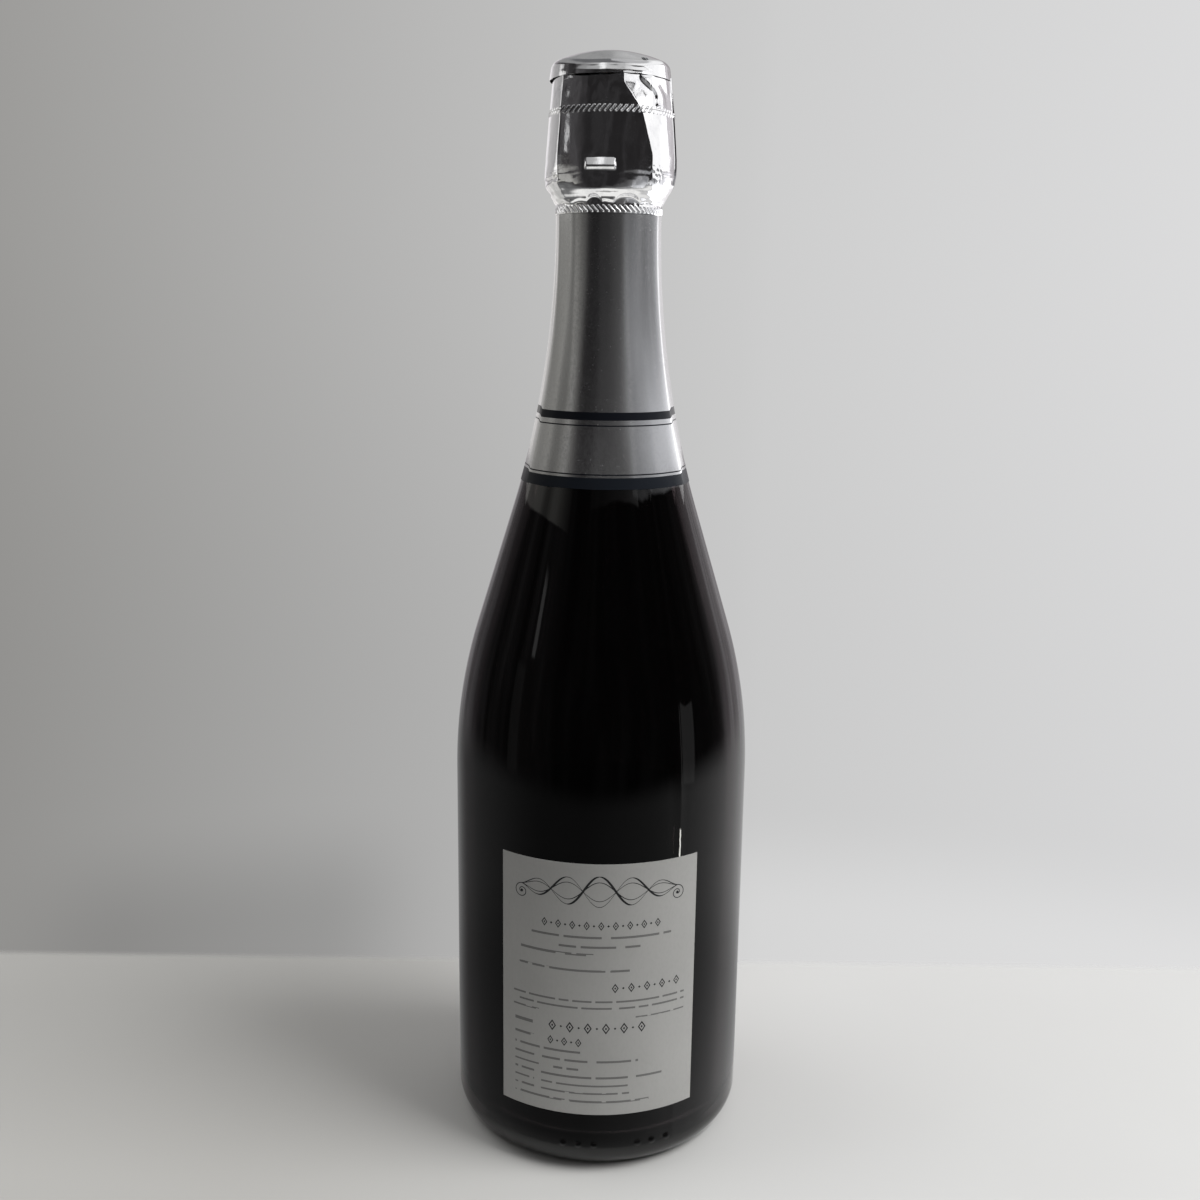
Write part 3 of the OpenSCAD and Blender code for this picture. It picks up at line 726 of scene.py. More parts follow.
@dataclass
class GlassBottle:
    """The bottle: one lathe-turned wall with its mould seams and heel marks."""

    height: float = 300
    body_r: float = 44.3
    wall: float = 5.2
    shoulder_curve: float = 154
    neck_curve: float = 272
    lean: float = 17
    neck_r: float = 14.8
    body_top: float = 112.906
    neck_curve_top: float = 273.063
    slope_low: float = 283.963
    flange_r: float = 16.9
    flange_top: float = 290.5
    flange_low: float = 286.5
    flange_curve: float = 1.2
    groove_r: float = 13.3
    lip_r: float = 14.3
    lip_low: float = 295.4
    lip_curve: float = 1.6
    bore_r: float = 8.75
    bore_low: float = 274
    heel: float = 9
    punt_r: float = 33.3
    punt_depth: float = 34
    floor_t: float = 8
    inner_heel: float = 6
    steps: int = 192
    seams: tuple[float, ...] = (30.7, -149.3)
    seam_rise: float = 0.07
    seam_half: float = 0.42
    seam_top: float = 272
    marks: tuple[float, ...] = (-12.8, -6.9, -0.9, 16.0, 21.7, 28.0)
    mark_z: float = 9.6
    mark_r: float = 0.95
    mark_rise: float = 0.28

    def outline(self) -> Line:
        """Closed outline: the hollow underside, the outside, the rim, the inside and the floor."""
        waist = (self.body_r - self.shoulder_curve, self.body_top)
        hollow = (self.neck_r + self.neck_curve, self.neck_curve_top)
        taper_h = self.neck_curve_top - self.bore_low + 12
        taper = math.degrees(math.asin(taper_h / (self.neck_curve + self.wall)))
        flange_r, curve = self.flange_r - self.flange_curve, self.flange_curve
        punt = [(self.punt_r * i / 24,
                 dome(self.punt_depth, self.punt_r, self.punt_r * i / 24)) for i in range(25)]
        floor_r = self.punt_r * 0.93
        floor = [(floor_r * i / 16,
                  self.floor_t + dome(self.punt_depth, self.punt_r,
                                      floor_r * i / 16)) for i in range(16, -1, -1)]
        return [
            *punt,
            *arc((self.body_r - self.heel, self.heel), self.heel, -90, 0, 12),
            *arc(waist, self.shoulder_curve, 0, self.lean, 22),
            *arc(hollow, self.neck_curve, 180 + self.lean, 180, 32),
            (self.neck_r, self.slope_low - 0.5),
            (self.neck_r + 0.35, self.slope_low + 0.2),
            *arc((flange_r, self.flange_low), curve, -46, 0, 6),
            *arc((flange_r, self.flange_top - curve), curve, 0, 90, 7),
            (self.groove_r + curve, self.flange_top + curve * 0.22),
            (self.groove_r + curve / 3, self.flange_top + curve * 0.8),
            (self.groove_r, self.flange_top + curve * 1.5),
            (self.groove_r, self.lip_low - curve),
            (self.groove_r + 0.3, self.lip_low - 0.2),
            (self.lip_r - 0.25, self.lip_low + 0.35),
            (self.lip_r, self.lip_low + 0.8),
            *arc((self.lip_r - self.lip_curve, self.height - self.lip_curve), self.lip_curve, 0, 90, 7),
            *arc((self.bore_r + 0.6, self.height - 0.6), 0.6, 90, 180, 4),
            (self.bore_r, self.bore_low),
            *arc(hollow, self.neck_curve + self.wall, 180 + taper, 180 + self.lean, 20),
            *arc(waist, self.shoulder_curve - self.wall, self.lean, 0, 16),
            *arc((self.body_r - self.wall - self.inner_heel, self.floor_t + self.inner_heel), self.inner_heel,
                 0, -70, 6),
            *floor,
        ]

    def seam_rule(self, side: float, height: float, radius: float) -> Trio:
        """Draw three columns of points together at each seam and raise the middle one."""
        step = 360 / self.steps
        for seam in self.seams:
            column = round(turn_between(side, seam) / step)
            if abs(column) <= 1:
                side = seam + column * self.seam_half
                if column == 0 and 12 < height < self.seam_top and radius > self.neck_r - 0.1:
                    outer = radius > 39.6 or height > 112
                    inner = radius < self.outside_r(height) - 1
                    radius += self.seam_rise if outer and not inner else 0
        return side, height, radius

    def outside_r(self, height: float) -> float:
        """Radius of the outside at a height between the heel and the flange."""
        lean_low = self.body_top + self.shoulder_curve * math.sin(math.radians(self.lean))
        neck_low = self.neck_curve_top - self.neck_curve * math.sin(math.radians(self.lean))
        if height < self.body_top:
            return self.body_r
        if height < lean_low:
            drop = math.sqrt(self.shoulder_curve**2 - (height - self.body_top) ** 2)
            return self.body_r - self.shoulder_curve + drop
        if height < neck_low:
            low_r = self.body_r - self.shoulder_curve * (1 - math.cos(math.radians(self.lean)))
            return low_r - (height - lean_low) * math.tan(math.radians(self.lean))
        if height < self.neck_curve_top:
            rise = math.sqrt(self.neck_curve**2 - (self.neck_curve_top - height) ** 2)
            return self.neck_r + self.neck_curve - rise
        return self.neck_r

    def mark(self, side: float) -> bpy.types.Object:
        """One raised heel mark: the cut-off top of a flattened ball, set on the glass."""
        deselect()
        turn = math.radians(side)
        bpy.ops.mesh.primitive_uv_sphere_add(segments=20, ring_count=12, radius=self.mark_r * MM)
        ball = bpy.context.object
        bpy.ops.object.mode_set(mode="EDIT")
        bpy.ops.mesh.select_all(action="SELECT")
        bpy.ops.mesh.bisect(plane_co=(0, 0, -self.mark_r * 0.25 * MM), plane_no=(0, 0, 1), clear_inner=True,
                            use_fill=True)
        bpy.ops.mesh.select_all(action="SELECT")
        bpy.ops.transform.resize(value=(1, 1, self.mark_rise / self.mark_r))
        bpy.ops.mesh.normals_make_consistent(inside=False)
        bpy.ops.object.mode_set(mode="OBJECT")
        out = Vector((math.sin(turn), -math.cos(turn), 0))
        ball.rotation_mode = "QUATERNION"
        ball.rotation_quaternion = out.to_track_quat("Z", "Y")
        ball.location = out * (self.body_r - 0.02) * MM + Vector((0, 0, self.mark_z * MM))
        bpy.ops.object.transform_apply(location=True, rotation=True, scale=True)
        return ball

    def build(self, glass: Material) -> None:
        """Make the bottle and its heel marks."""
        bottle = spun("bottle_wall", self.outline(), self.steps, True)
        reshape(bottle, self.seam_rule)
        smooth(bottle, 40)
        settle(bottle, glass, Body.BOTTLE, Slot.GLASS, "glass_bottle")
        balls = [self.mark(side) for side in self.marks]
        take(balls[0])
        for ball in balls:
            ball.select_set(True)
        bpy.ops.object.join()
        balls[0].name = "heel_marks"
        smooth(balls[0], 50)
        settle(balls[0], glass, Body.BOTTLE, Slot.GLASS)


@dataclass
class Labels:
    """The two paper labels, bent round the straight body."""

    low: float = 19.7
    height: float = 78.2
    inner_r: float = 44.35
    thick: float = 0.12
    back_w: float = 60
    front_w: float = 92

    def label(self, name: str, middle: float, width: float) -> bpy.types.Object:
        """One label: a turned strip of paper, its faces closed by a thickness."""
        deselect()
        spread = width / self.inner_r
        steps = round(width / 0.8)
        start = math.radians(middle - 90) + spread / 2
        radius = (self.inner_r + self.thick) * MM
        corner = (math.cos(start) * radius, math.sin(start) * radius, self.low * MM)
        bpy.ops.mesh.primitive_plane_add(size=MM, location=corner)
        piece = bpy.context.object
        piece.name = name
        bpy.ops.object.mode_set(mode="EDIT")
        bpy.ops.mesh.select_all(action="SELECT")
        bpy.ops.mesh.merge(type="CENTER")
        for _ in range(8):
            rise = self.height / 8 * MM
            bpy.ops.mesh.extrude_vertices_move(TRANSFORM_OT_translate={"value": (0, 0, rise)})
        bpy.ops.mesh.select_all(action="SELECT")
        bpy.ops.mesh.spin(steps=steps, angle=spread, center=(0, 0, 0), axis=(0, 0, 1))
        bpy.ops.mesh.select_all(action="SELECT")
        bpy.ops.mesh.remove_doubles(threshold=1e-6)
        bpy.ops.object.mode_set(mode="OBJECT")
        bpy.ops.object.transform_apply(location=True, rotation=False, scale=False)
        face_out(piece)
        with_modifier(piece, "SOLIDIFY", thickness=self.thick * MM, offset=-1.0)
        smooth(piece, 40)
        return piece

    def build(self, back: Material, front: Material) -> None:
        """Make both labels."""
        settle(self.label("back_label_paper", 0, self.back_w), back, Body.BOTTLE, Slot.PAPER, "back_label")
        settle(self.label("front_label_paper", 180, self.front_w), front, Body.BOTTLE, Slot.PAPER,
               "front_label")


@dataclass
class NeckFoil:
    """Satin foil wrapped on the neck, with pleats that kink its printed rings."""

    glass: GlassBottle
    low: float = 200.6
    high: float = 275.15
    fit: float = 0.06
    thick: float = 0.12
    steps: int = 288
    pleats: tuple[float, ...] = (-64, 64, 116, -116)
    pleat_rise: float = 0.34
    pleat_half: float = 15
    kink: float = 0.8

    def pleat(self, side: float) -> float:
        """Share of a pleat's full rise at a side, one along its crease."""
        nearest = min(abs(turn_between(side, crease)) for crease in self.pleats)
        return clamp(1 - nearest / self.pleat_half) ** 1.5

    def rule(self, side: float, height: float, radius: float) -> Trio:
        """Raise the pleats and lay long soft wrinkles between them."""
        turn = math.radians(side)
        place = Vector((math.sin(turn) * 2.6, math.cos(turn) * 2.6, height * 0.012))
        wrinkle = noise.noise(place * 2.2) * 0.05 * (1 + 1.4 * ease(-15, -50, side))
        radius += self.pleat_rise * self.pleat(side) + wrinkle + 0.02
        edge = 1 - ease(self.low, self.low + 1.0, height)
        height += edge * 0.12 * noise.noise(Vector((side * 0.06, 3.1, 0)))
        return side, height, radius

    def build(self, satin: Material) -> None:
        """Make the neck foil."""
        rows = 64
        heights = [self.low + (self.high - self.low) * i / rows for i in range(rows + 1)]
        room = self.fit + self.thick
        foil = spun("neck_foil", [(self.glass.outside_r(z) + room, z) for z in heights], self.steps, False)
        face_out(foil)
        printed = foil.data.attributes.new("print_height", "FLOAT", "POINT")
        for vertex in foil.data.vertices:
            side = math.degrees(math.atan2(vertex.co.x, -vertex.co.y))
            beyond = ease(self.pleats[1] - 1.5, self.pleats[1] + 5, abs(side))
            printed.data[vertex.index].value = vertex.co.z / MM - self.kink * beyond
        reshape(foil, self.rule)
        with_modifier(foil, "SOLIDIFY", thickness=self.thick * MM, offset=-1.0)
        smooth(foil, 35)
        settle(foil, satin, Body.BOTTLE, Slot.SATIN, "foil_neck")


@dataclass
class HeadFoil:
    """Bright foil over the cage: the tear strip, the hood and the disc on top.

    A crest is a fold that stands at the full radius over a leg of the cage. Between two crests the foil is
    drawn in by a panel's depth.
    """

    foil_t: float = 0.12
    tear_low: float = 275.25
    tear_high: float = 302.3
    hood_high: float = 311.9
    knee_r: float = 17.765
    leg_top: Point = (15.7, 312.52)
    leg_low_z: float = 290.5
    pair_reach: float = 0.815
    room: float = 0.18
    neck_r: float = 14.8
    gathered: tuple[Point, ...] = (
        (14.98, 278.7), (15.14, 279.25), (15.5, 279.75), (16.05, 280.25), (16.78, 280.95), (17.42, 281.75),
        (17.95, 282.6), (18.30, 283.6), (18.52, 284.8), (18.63, 286.2), (18.68, 288.0), (18.66, 290.5),
    )
    front_line: tuple[Point, ...] = (
        (278.7, 15.0), (279.4, 15.05), (279.9, 15.4), (280.4, 16.05), (280.9, 16.85), (281.3, 17.28),
        (281.8, 17.43), (289.0, 17.13), (290.5, 17.11),
    )
    pad_side: float = -8.3
    pad_z: float = 287.9
    pad_line: tuple[Point, ...] = (
        (-1.75, 0.0), (-1.55, 0.08), (-0.75, 0.56), (-0.6, 0.60), (0.55, 0.34), (0.7, 0.31), (1.5, 0.05),
        (1.75, 0.0),
    )
    crests: tuple[float, ...] = (-50.0, 40.0, 79.0, 91.0, 130.0, 220.0, 310.0)
    depths: tuple[float, ...] = (1.55, 0.34, 0.05, 0.34, 0.75, 0.75)
    slant: tuple[Point, ...] = ((290.9, 39.0), (302.2, 28.0), (308.9, 12.0))
    arches: tuple[Trio, ...] = ((-15.5, 10.5, 2.2), (19, 17, 2.5))
    toes: tuple[tuple[float, float, float, float], ...] = (
        (-50, 282.4, 0.40, 4.5), (41, 283.2, 0.50, 6.0), (130, 282.4, 0.45, 4.5), (220, 282.4, 0.45, 4.5),
    )
    knot: Point = (43, 284.4)
    crescent_rise: float = 0.55
    crescent_side: float = 47
    crescent_turn: float = 17
    press: float = 1.1
    steps: int = 560
    tear_lines: tuple[tuple[float, int, float], ...] = ((302.2, 70, 0.85), (276.4, 62, -1.0))
    tick_h: float = 0.98
    tick_rise: float = 0.20
    seam_side: float = 79
    seam_rise: float = 0.34
    disc_top: float = 319.02
    crown_curve: float = 38.5
    disc_edge: Point = (14.2, 313.71)
    disc_lean: float = 23.16
    disc_curve: float = 2.4
    disc_low: float = 311.085
    disc_low_r: float = 16.9346
    disc_edge_end: float = 6
    disc_flare: float = 0.12
    disc_flare_h: float = 0.8

    def leg_r(self, height: float) -> float:
        """Radius of the middle of a cage leg at a height."""
        share = max(0.0, height - self.leg_low_z) / (self.leg_top[1] - self.leg_low_z)
        return self.knee_r + (self.leg_top[0] - self.knee_r) * share

    def full_r(self, height: float) -> float:
        """Radius of the foil over a leg, above the flange."""
        return self.leg_r(height) + self.pair_reach + self.room

    def diagonal(self, height: float) -> float:
        """Side of the front panel's right-hand fold, which leans across to the left as it rises."""
        return between(self.slant, height)

    def fall(self, side: float, height: float, radius: float) -> float:
        """How far the foil is drawn in between two crests, from its full radius at a height."""
        diagonal = self.diagonal(height)
        crests = (self.crests[0], diagonal, *self.crests[1:])
        flat = 17.5 * (1 - math.cos(math.radians((self.crests[1] - diagonal) / 2)))
        depths = (self.depths[0], flat, *self.depths[1:])
        place = (side + 50) % 360 - 50
        panel = max(number for number, crest in enumerate(crests) if crest <= place)
        share = (place - crests[panel]) / (crests[panel + 1] - crests[panel])
        bow = 1 - abs(2 * share - 1) ** 2.05
        if panel == 0 and height < self.front_line[-1][0]:
            return bow * (radius - between(self.front_line, height)) * ease(278.2, 278.9, height)
        tight = 0.35 + 0.65 * ease(284, 290, height)
        return bow * depths[panel] * tight * ease(281, 285, height)

    def ticks(self, side: float, height: float, radius: float) -> float:
        """Rise of the slanting ticks pressed along the two tear lines."""
        rise = 0.0
        for middle, count, lean in self.tear_lines:
            off = height - middle
            if abs(off) < self.tick_h:
                pitch = math.tau * radius / count
                place = (side / 360 * count - lean * off / pitch) % 1
                away = abs(place - 0.5) * pitch / math.hypot(1, lean)
                ends = 1 - ease(self.tick_h - 0.2, self.tick_h, abs(off))
                rise = self.tick_rise * (1 - ease(0.05, 0.33, away)) * ends
        return rise

    def rule(self, side: float, height: float, radius: float) -> Trio:
        """Shape the strip and the hood: panels, folds over the feet, crumples below the flange and ticks."""
        turn = math.radians(side)
        around = Vector((math.sin(turn) * 18, -math.cos(turn) * 18, 0))
        up = Vector((0, 0, height))
        fall = self.fall(side, height, radius)
        broad = noise.noise(around * 0.16 + up * 0.07) * 0.10
        local = noise.noise(around * 0.45 + up * 0.30 + Vector((7, 3, 1))) * 0.035
        top = ease(303, 306, height) * (1 - ease(310.3, 311.2, height))
        dents = noise.noise(around * 0.30 + up * 0.26 + Vector((2, 9, 4))) * 0.15 * top
        radius += (broad + local) * ease(279, 283, height) - fall + dents * 0.7 - abs(dents) * 0.5
        radius += self.crumple(side, height, around, up)
        radius += self.feet(side, height)
        radius += self.overlap(side, height)
        radius += self.pad(side, height)
        radius += self.crescent(side, height, radius)
        radius += self.ticks(side, height, radius)
        return side, height, radius

    def crumple(self, side: float, height: float, around: Vector, up: Vector) -> float:
        """Folds where the foil is gathered in below the flange."""
        if height > 287.5:
            return 0.0
        zone = ease(276.8, 278.6, height) * (1 - ease(284.5, 287.5, height))
        front = ease(-56, -44, side) * (1 - ease(34, 42, side))
        folds = abs(noise.noise(around * 0.14 + up * 0.60 + Vector((5, 1, 8)))) * (-0.34 + 0.20 * front)
        small = noise.noise(around * 0.7 + up * 0.7) * (0.05 - 0.035 * front)
        start = 277.9 + 0.5 * noise.noise(around * 0.35 + Vector((1, 4, 2)))
        for middle, half, rise in self.arches:
            start = max(start, 277.2 + rise * (1 - (turn_between(side, middle) / half) ** 2))
        bulge = 0.70 * ease(start, start + 1.0, height) * (1 - ease(279.7, 281.4, height))
        pleats = abs(noise.noise(around * 0.5 + up * 0.1 + Vector((3, 3, 3))))
        gather = pleats * 0.12 * (1 - ease(277.5, 279, height))
        return (folds + small) * zone + bulge + gather

    def feet(self, side: float, height: float) -> float:
        """Bumps over the cage's feet, largest at the front right."""
        if height > 292:
            return 0.0
        rise = 0.0
        for foot, z, size, wide in self.toes:
            away = (turn_between(side, foot) / wide) ** 2 + ((height - z) / 2.3) ** 2
            rise += size * math.exp(-away)
        turn = math.radians(side)
        knots = noise.noise(Vector((math.sin(turn) * 22, math.cos(turn) * 22, height * 1.1)))
        near = math.exp(-((turn_between(side, self.knot[0]) / 8) ** 2) - ((height - self.knot[1]) / 2.8) ** 2)
        return rise + knots * 0.26 * near

    def overlap(self, side: float, height: float) -> float:
        """Step where the foil's end laps over its start."""
        off = turn_between(side, self.seam_side)
        step = ease(-0.05, 0.05, off) * (1 - ease(3, 26, off))
        return self.seam_rise * step * ease(282.5, 284, height)

    def pad(self, side: float, height: float) -> float:
        """Oblong pad pressed out of the front panel, steeper below than above."""
        across = abs(turn_between(side, self.pad_side)) / 360 * math.tau * 17.6
        if across > 5 or abs(height - self.pad_z) > 2:
            return 0.0
        return between(self.pad_line, height - self.pad_z) * (1 - ease(3.75, 4.55, across))

    def crescent(self, side: float, height: float, radius: float) -> float:
        """Curved fold at the hood's front right, steep on its left flank."""
        if height < 302.5:
            return 0.0
        fold = self.crescent_side - self.crescent_turn * ease(305.5, 311.0, height)
        off = turn_between(side, fold) / 360 * math.tau * radius
        ends = ease(302.6, 303.6, height) * (1 - ease(310.4, 311.6, height))
        return self.crescent_rise * ease(-0.9, 0.0, off) * (1 - ease(0.2, 6.0, off)) * ends

    def strip_outline(self) -> Line:
        """Outside of the strip, from the lower tear line up over the gathered foil to the upper one."""
        low = [(self.neck_r + self.room, self.tear_low + i * 0.19) for i in range(13)]
        body = refined([low[-1], *self.gathered[:7]], 0.36) + refined(list(self.gathered[6:-3]), 0.6)[1:]
        body += refined(list(self.gathered[-4:]), 0.26)[1:]
        plain = refined([self.gathered[-1], (self.full_r(self.tear_high - 1.3), self.tear_high - 1.3)], 0.9)
        high = [(self.full_r(z), z) for z in (self.tear_high - 1.17 + i * 0.16 for i in range(8))]
        return low + body[1:] + plain[1:] + high

    def hood_outline(self) -> Line:
        """Outside of the hood, from the upper tear line up into the disc's skirt."""
        fine = [self.tear_high + 0.05 + i * 0.16 for i in range(8)]
        rest = [fine[-1] + (self.hood_high - fine[-1]) * i / 17 for i in range(1, 18)]
        return [(self.full_r(z), z) for z in fine + rest]

    def disc_outline(self) -> Line:
        """Outside of the disc, from its middle to the foot of its skirt."""
        line = [
            *arc((0, self.disc_top - self.crown_curve), self.crown_curve, 90, 90 - self.disc_lean, 22),
            *arc(self.disc_edge, self.disc_curve, 90 - self.disc_lean, self.disc_edge_end, 12)[1:],
            (self.disc_low_r - 0.22, self.disc_low + 2.1),
            (self.disc_low_r - 0.10, self.disc_low + 1.4),
            (self.disc_low_r, self.disc_low + self.disc_flare_h),
            (self.disc_low_r + self.disc_flare * 0.25, self.disc_low + self.disc_flare_h * 0.35),
            (self.disc_low_r + self.disc_flare * 0.6, self.disc_low),
        ]
        return refined(line, 0.8)

    def disc_rule(self, side: float, height: float, radius: float) -> Trio:
        """Press waves in the disc's skirt, flats in its crown, and its shoulder down at the front."""
        turn = math.radians(side)
        around = Vector((math.sin(turn) * radius, -math.cos(turn) * radius, 0))
        skirt = 1 - ease(312.4, 314.6, height)
        radius += noise.noise(around * 0.30 + Vector((0, 0, height * 0.12))) * 0.10 * skirt
        radius -= 0.05 * skirt
        height -= abs(noise.noise(around * 0.12 + Vector((4, 4, 0)))) * 0.10 * (1 - skirt)
        height += noise.noise(around * 0.35 + Vector((2, 2, 0))) * 0.08 * (1 - ease(311.1, 312, height))
        front = ease(-60, -15, side) * (1 - ease(25, 65, side))
        height -= self.press * front * ease(8, 15, radius) * ease(311.7, 314.2, height)
        return side, height, radius

    def sheet(self, name: str, outline: Line, rule: Rule, steps: int) -> bpy.types.Object:
        """Spin a sheet of foil, shape it by a rule and give it its thickness inwards."""
        piece = spun(name, outline, steps, False)
        face_out(piece)
        reshape(piece, rule)
        with_modifier(piece, "SOLIDIFY", thickness=self.foil_t * MM, offset=-1.0)
        smooth(piece, 38)
        return piece

    def build(self, bright: Material) -> None:
        """Make the strip, the hood and the disc."""
        strip = self.sheet("tear_strip", self.strip_outline(), self.rule, self.steps)
        settle(strip, bright, Body.FOIL, Slot.BRIGHT, "foil_tear_strip")
        hood = self.sheet("hood_foil", self.hood_outline(), self.rule, self.steps)
        settle(hood, bright, Body.FOIL, Slot.BRIGHT, "foil_hood")
        disc = self.sheet("top_disc", self.disc_outline(), self.disc_rule, 256)
        settle(disc, bright, Body.FOIL, Slot.BRIGHT, "foil_top_disc")


@dataclass
class Stopper:
    """The cork: a pressed-grain plug and head over two discs of whole cork."""

    plug_r: float = 8.7
    plug_low: float = 276
    disc_t: float = 5.5
    head_low: float = 300.2
    head_r: float = 14.5
    head_top: float = 314.8
    low_curve: float = 2
    top_curve: float = 2.5
    crown_h: float = 2.2
    crown_r: float = 11.5
    joint: float = 0.12
    steps: int = 128

    def body_outline(self) -> Line:
        """Outline of the plug above the discs and the head, from the axis up."""
        low = self.plug_low + self.disc_t * 2
        crown = [(self.crown_r * i / 8,
                  self.head_top + dome(self.crown_h, self.crown_r,
                                       self.crown_r * i / 8)) for i in range(8, -1, -1)]
        line = [
            (0, low), (self.plug_r - self.joint, low), (self.plug_r, low + self.joint),
            (self.plug_r, self.head_low - 0.4), (self.plug_r + 0.1, self.head_low),
            *arc((self.head_r - self.low_curve, self.head_low + self.low_curve), self.low_curve, -90, 0, 8),
            *arc((self.head_r - self.top_curve, self.head_top - self.top_curve), self.top_curve, 0, 90, 8),
            *crown,
        ]
        return refined(line, 1.2)

    def disc_outline(self, place: int) -> Line:
        """Outline of one disc, its rims eased by the glue joints."""
        low, high = self.plug_low + self.disc_t * place, self.plug_low + self.disc_t * (place + 1)
        ease_r = 0.9 if place == 0 else self.joint
        return refined([
            (0, low), (self.plug_r - ease_r, low), (self.plug_r - ease_r * 0.3, low + ease_r * 0.3),
            (self.plug_r, low + ease_r), (self.plug_r, high - self.joint), (self.plug_r - self.joint, high),
            (0, high),
        ], 1.0)

    def rule(self, side: float, height: float, radius: float) -> Trio:
        """Leave the head slightly out of round and pitted, as a real one is."""
        turn = math.radians(side)
        place = Vector((math.sin(turn) * radius, math.cos(turn) * radius, height))
        head = ease(300.5, 302, height) * (1 - ease(314.0, 314.8, height))
        radius += (noise.noise(place * 0.5) * 0.12 - 0.12) * head
        return side, height, radius

    def build(self, grain: Material, natural: Material) -> None:
        """Make the cork and its discs."""
        cork = spun("cork_grain", self.body_outline(), self.steps, False)
        reshape(cork, self.rule)
        smooth(cork, 40)
        settle(cork, grain, Body.CORK, Slot.GRAIN, "cork_body")
        for place, node in enumerate(("cork_disc_lower", "cork_disc_upper")):
            disc = spun(node + "_natural", self.disc_outline(place), self.steps, False)
            smooth(disc, 40)
            settle(disc, natural, Body.CORK, Slot.DISC, node)


@dataclass
class SheetCap:
    """Metal cap on the cork, with pressed rings and a turned-down edge."""

    radius: float = 14.9
    thick: float = 0.2
    low: float = 314.9
    dome_h: float = 3.6
    dome_r: float = 11.5
    curve: float = 0.9
    edge: Point = (14.0, 314.2)
    skirt_low: float = 313.6
    rings: tuple[Trio, ...] = ((9.6, 0.5, 0.10), (5.2, 0.45, -0.10), (2.2, 0.35, 0.09))
    steps: int = 160

    def top(self, r: float) -> float:
        """Height of the outside at a radius within the dome."""
        pressed = sum(rise * math.exp(-(((r - at) / wide) ** 2)) for at, wide, rise in self.rings)
        return self.low + self.thick + dome(self.dome_h, self.dome_r, r) + pressed

    def build(self, metal: Material) -> None:
        """Make the cap."""
        outside = [(self.dome_r * i / 46, self.top(self.dome_r * i / 46)) for i in range(47)]
        outline = [*outside, *arc(self.edge, self.curve, 90, 0, 8), (self.radius, self.skirt_low)]
        cap = spun("cap_plate", outline, self.steps, False)
        face_out(cap)
        with_modifier(cap, "SOLIDIFY", thickness=self.thick * MM, offset=-1.0)
        smooth(cap, 40)
        settle(cap, metal, Body.CAGE, Slot.CAP, "metal_cap")


@dataclass
class CageWires:
    """The cage's wires, rounded from the CAD's six-sided ones."""

    swell: float = 0.072

    def wire(self, name: str, node: str, levels: int) -> bpy.types.Object:
        """Copy a CAD wire, merge it, fatten it and round it."""
        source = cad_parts[node]
        piece = bpy.data.objects.new(name, source.data.copy())
        bpy.context.scene.collection.objects.link(piece)
        take(piece)
        bpy.ops.object.mode_set(mode="EDIT")
        bpy.ops.mesh.customdata_custom_splitnormals_clear()
        bpy.ops.mesh.select_all(action="SELECT")
        bpy.ops.mesh.remove_doubles(threshold=1e-6)
        bpy.ops.mesh.tris_convert_to_quads(face_threshold=math.radians(60), shape_threshold=math.radians(60))
        bpy.ops.mesh.normals_make_consistent(inside=False)
        bpy.ops.transform.shrink_fatten(value=self.swell * MM)
        bpy.ops.object.mode_set(mode="OBJECT")
        with_modifier(piece, "SUBSURF", levels=levels, render_levels=levels)
        smooth(piece, 60)
        return piece

    def build(self, zinc: Material) -> None:
        """Make the three wires."""
        settle(self.wire("cage_wire_round", "cage_wire", 1), zinc, Body.CAGE, Slot.WIRE, "cage_wire")
        settle(self.wire("belt_wire_round", "belt_wire", 2), zinc, Body.CAGE, Slot.WIRE, "belt_wire")
        settle(self.wire("twist_loop_round", "twist_loop", 2), zinc, Body.LOOP, Slot.WIRE, "twist_loop")


@dataclass(frozen=True)
class Card:
    """A pale card near the bottle's head, seen only as a reflection.

    It hangs upright at a side and a distance from the axis and faces it. Places across it are in
    millimetres from its middle, towards larger sides. Its foot is a line, and some cards are brighter
    near that line.
    """

    name: str
    side: float
    distance: float
    half: float
    low: float
    high: float
    shine: tuple[Point, ...]
    foot: tuple[Point, ...] = ()
    foot_shine: tuple[Point, ...] = ()
    tint: Trio = WHITE
    fade: tuple[Point, ...] = ((0, 1.0), (17, 1.0), (29, 0.55), (39, 0.25), (50, 0.05), (57, 0.0))


